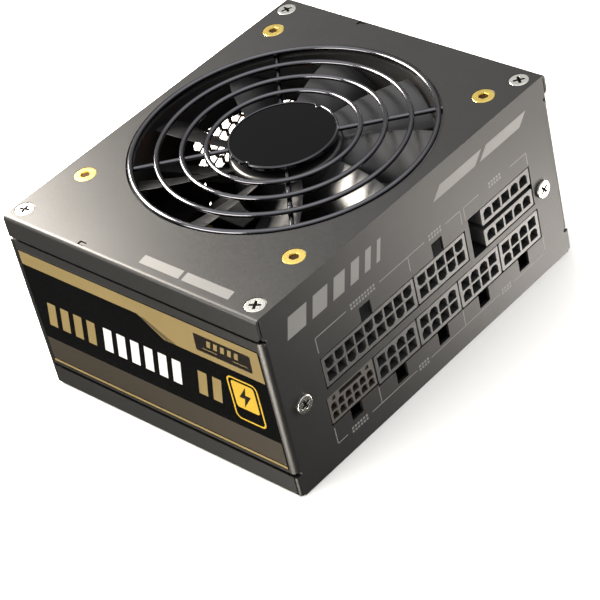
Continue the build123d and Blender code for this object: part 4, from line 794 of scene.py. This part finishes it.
# depths of the painted recess shade from the heads' faces, how much it is shorter and narrower than the
# slots, and how far out its corners go in a hexagon, in apothems (the socket's own corners are at 1.155)
recesses = {"coverMm": (-0.34, -0.08), "panelMm": (-0.3, -0.08), "fanMm": (-0.8, -0.35),
            "trimMm": (0.1, 0.06), "cornerShare": 1.13}


def crossOutline(x, y, look, turnDeg):
    # the twelve corners of a cross of two bars, turned about its middle
    a, b = [(size - trim) / 2 for size, trim in zip(look["crossMm"], recesses["trimMm"])]
    turn = math.radians(turnDeg)
    outline = [(a, b), (b, b), (b, a), (-b, a), (-b, b), (-a, b),
               (-a, -b), (-b, -b), (-b, -a), (b, -a), (b, -b), (a, -b)]
    return [(x + u * math.cos(turn) - v * math.sin(turn), y + u * math.sin(turn) + v * math.cos(turn))
            for u, v in outline]


def hexOutline(x, y, apothem):
    # six corners a sixth of a turn apart, the first at a twelfth
    reach = apothem * recesses["cornerShare"]
    turns = [k * math.pi / 3 + math.pi / 6 for k in range(6)]
    return [(x + reach * math.cos(turn), y + reach * math.sin(turn)) for turn in turns]


# dark crosses in the recesses of the cover screws: painted shade, where the slots fall into shadow
topCrosses = [crossOutline(x, y, screwLooks["cover"], turnDeg)
              for (x, y), turnDeg in zip(coverPlaces, screwLooks["cover"]["turnsDeg"])]
coverHead = coverTop - coverFace
printPiece("cover_recess_painted_shade", topCrosses, coverHead + recesses["coverMm"][0],
           coverHead + recesses["coverMm"][1], onTop, recessShade)
# the same painted shade in the recesses of the panel screws
frontCrosses = [crossOutline(x, panelZ, screwLooks["panel"], turnDeg)
                for x, turnDeg in zip(panelPlaces, screwLooks["panel"]["turnsDeg"])]
panelHead = boxLow[1] - panelLow.y / mm
printPiece("panel_recess_painted_shade", frontCrosses, panelHead + recesses["panelMm"][0],
           panelHead + recesses["panelMm"][1], onPanel, recessShade)
# dark brown hexagons in the sockets of the fan screws: painted shade, where the sockets fall into shadow
hexes = [hexOutline(x, y, screwLooks["fan"]["hexMm"]) for x, y in fanPlaces]
fanHead = fanScrewHigh.z / mm - coverFace
printPiece("fan_recess_painted_shade", hexes, fanHead + recesses["fanMm"][0], fanHead + recesses["fanMm"][1],
           onTop, hexShade)


def onRearWall(u, v, d):
    # d runs inwards from the outer face of the mains wall
    return np.stack([u, boxHigh[1] - d, v], 1)


# a dark sheet behind the vent's lower part: painted shade for the inside of the case, seen through the fan
ventShadeArt = {"left": 10.5, "right": 54.0, "low": 9.5, "high": 27.5, "cornerMm": 1.0, "depthMm": (1.05, 1.2)}
ventShadeOutline = roundedRectangle(ventShadeArt["left"], ventShadeArt["right"], ventShadeArt["low"], ventShadeArt["high"],
                                 ventShadeArt["cornerMm"])
panelBack = boxHigh[1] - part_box("rear_panel")[1].y / mm
printPiece("vent_painted_shade", [ventShadeOutline], panelBack + ventShadeArt["depthMm"][0],
           panelBack + ventShadeArt["depthMm"][1], onRearWall, ventShade)
print("paintedShadeLooks")


# floor, light and camera

studio = {"floorHex": "#F6F6F5", "floorMirror": 0.05, "floorRough": 0.12, "halfSize": 3.0,
          "topStrength": 2.1, "sideStrength": 0.42, "lowStrength": 0.06, "wallRise": (-0.2, 0.15),
          "clothRise": (0.4, 1.0), "floorGap": 0.0002}
middle = (np.array(cadBox[0]) + np.array(cadBox[1])) / 2
floorZ = cadBox[0][2] - studio["floorGap"]


def makeFloor():
    # a flat square under the object, white and dull with a little mirror in it
    edge = studio["halfSize"]
    mesh = bpy.data.meshes.new("floor")
    square = [(-edge, -edge, floorZ), (edge, -edge, floorZ), (edge, edge, floorZ), (-edge, edge, floorZ)]
    mesh.from_pydata(square, [], [(0, 1, 2, 3)])
    material = bpy.data.materials.new("polishedWhiteAcrylic")
    material.use_nodes = True
    tree = material.node_tree
    tree.nodes.clear()
    dull = addNode(tree, "BsdfDiffuse", {"Color": toLinear(studio["floorHex"])})
    shine = addNode(tree, "BsdfGlossy", {"Color": toLinear("#FFFFFF"), "Roughness": studio["floorRough"]})
    mixed = addNode(tree, "MixShader", {"Fac": studio["floorMirror"]},
                    {1: dull.outputs[0], 2: shine.outputs[0]})
    addNode(tree, "OutputMaterial", {}, {"Surface": mixed.outputs[0]})
    mesh.materials.append(material)
    floor = bpy.data.objects.new("floor", mesh)
    bpy.context.scene.collection.objects.link(floor)
    floor.visible_glossy = False  # shiny sides see the dark studio below instead, as over a black flag
    floor.visible_shadow = False  # the low softboxes shine through it, in place of light off a white table


makeFloor()


def directionFrom(azimuthDeg, elevationDeg):
    # (cos azimuth cos elevation, sin azimuth cos elevation, sin elevation)
    azimuth, elevation = math.radians(azimuthDeg), math.radians(elevationDeg)
    return np.array([math.cos(azimuth) * math.cos(elevation), math.sin(azimuth) * math.cos(elevation),
                     math.sin(elevation)])


def facing(eye, target, rollDeg=0.0):
    # axes of something at eye that looks at target: z back along the line, x level and y upright, then x and
    # y turned about z by the roll
    back = np.array(eye) - np.array(target)
    back /= np.linalg.norm(back)
    level = np.cross([0, 0, 1.0], back)
    level /= np.linalg.norm(level)
    up = np.cross(back, level)
    roll = math.radians(rollDeg)
    x = level * math.cos(roll) + up * math.sin(roll)
    y = up * math.cos(roll) - level * math.sin(roll)
    matrix = np.eye(4)
    matrix[:3, 0], matrix[:3, 1], matrix[:3, 2], matrix[:3, 3] = x, y, back, eye
    return matrix.tolist()


softboxes = {
    "key": {"at": (-0.04, 0.22, 0.20), "size": (0.18, 0.12), "watts": 3.9, "tint": "#FFF6EA"},
    "left": {"at": (-0.55, 0.10, 0.16), "size": (0.40, 0.30), "watts": 4.8, "tint": "#FFFAF2"},
    "right": {"at": (0.26, -0.17, 0.01), "size": (0.12, 0.08), "watts": 1.6, "tint": "#FFF6EC"},
    "bounce": {"at": (0.19, -0.16, -0.13), "size": (0.12, 0.06), "watts": 0.3, "tint": "#FFF8F0"},
    "lift": {"at": (-0.22, -0.06, -0.06), "size": (0.14, 0.08), "watts": 0.8, "tint": "#FFF6E8"},
}
for name, box in softboxes.items():
    light = bpy.data.lights.new(name, "AREA")
    light.shape = "RECTANGLE"
    light.size, light.size_y = box["size"]
    light.energy = box["watts"]
    light.color = toLinear(box["tint"])[:3]
    holder = bpy.data.objects.new(name, light)
    bpy.context.scene.collection.objects.link(holder)
    holder.matrix_world = np.array(facing(np.array(box["at"]) + (middle[0], middle[1], 0), middle)).T.tolist()

world = bpy.data.worlds.new("studio")
bpy.context.scene.world = world
world.use_nodes = True
background = world.node_tree.nodes["Background"]
background.inputs["Color"].default_value = toLinear("#FFFFFF")
# the studio's walls: strength rises from low to side as the height of the direction goes over wallRise,
# and from side to top as it goes over clothRise, as under a large overhead cloth
direction = addNode(world.node_tree, "TexCoord").outputs["Generated"]
upward = addNode(world.node_tree, "SeparateXYZ", {}, {0: direction}).outputs["Z"]
walls = addNode(world.node_tree, "MapRange",
                {"From Min": studio["wallRise"][0], "From Max": studio["wallRise"][1],
                 "To Min": studio["lowStrength"], "To Max": studio["sideStrength"]}, {"Value": upward})
cloth = addNode(world.node_tree, "MapRange",
                {"From Min": studio["clothRise"][0], "From Max": studio["clothRise"][1], "To Min": 0.0,
                 "To Max": studio["topStrength"] - studio["sideStrength"]}, {"Value": upward})
strength = addNode(world.node_tree, "Math", {"operation": "ADD"},
                   {0: walls.outputs["Result"], 1: cloth.outputs["Result"]})
world.node_tree.links.new(strength.outputs["Value"], background.inputs["Strength"])
bpy.context.scene.view_settings.view_transform = "Standard"

shot = {"aimMm": (-10.35, -6.93, 16.16), "azimuthDeg": -129.589, "elevationDeg": 37.442, "distanceMm": 675.9,
        "rollDeg": -14.155, "lensMm": 137.96}
camera = bpy.data.cameras.new("camera")
camera.lens, camera.sensor_width = shot["lensMm"], 36.0
camera.clip_start, camera.clip_end = 0.01, 50.0
holder = bpy.data.objects.new("camera", camera)
bpy.context.scene.collection.objects.link(holder)
aim = np.array(shot["aimMm"]) * mm
eye = aim + directionFrom(shot["azimuthDeg"], shot["elevationDeg"]) * shot["distanceMm"] * mm
holder.matrix_world = np.array(facing(eye, aim, shot["rollDeg"])).T.tolist()
bpy.context.scene.camera = holder
print("studio")
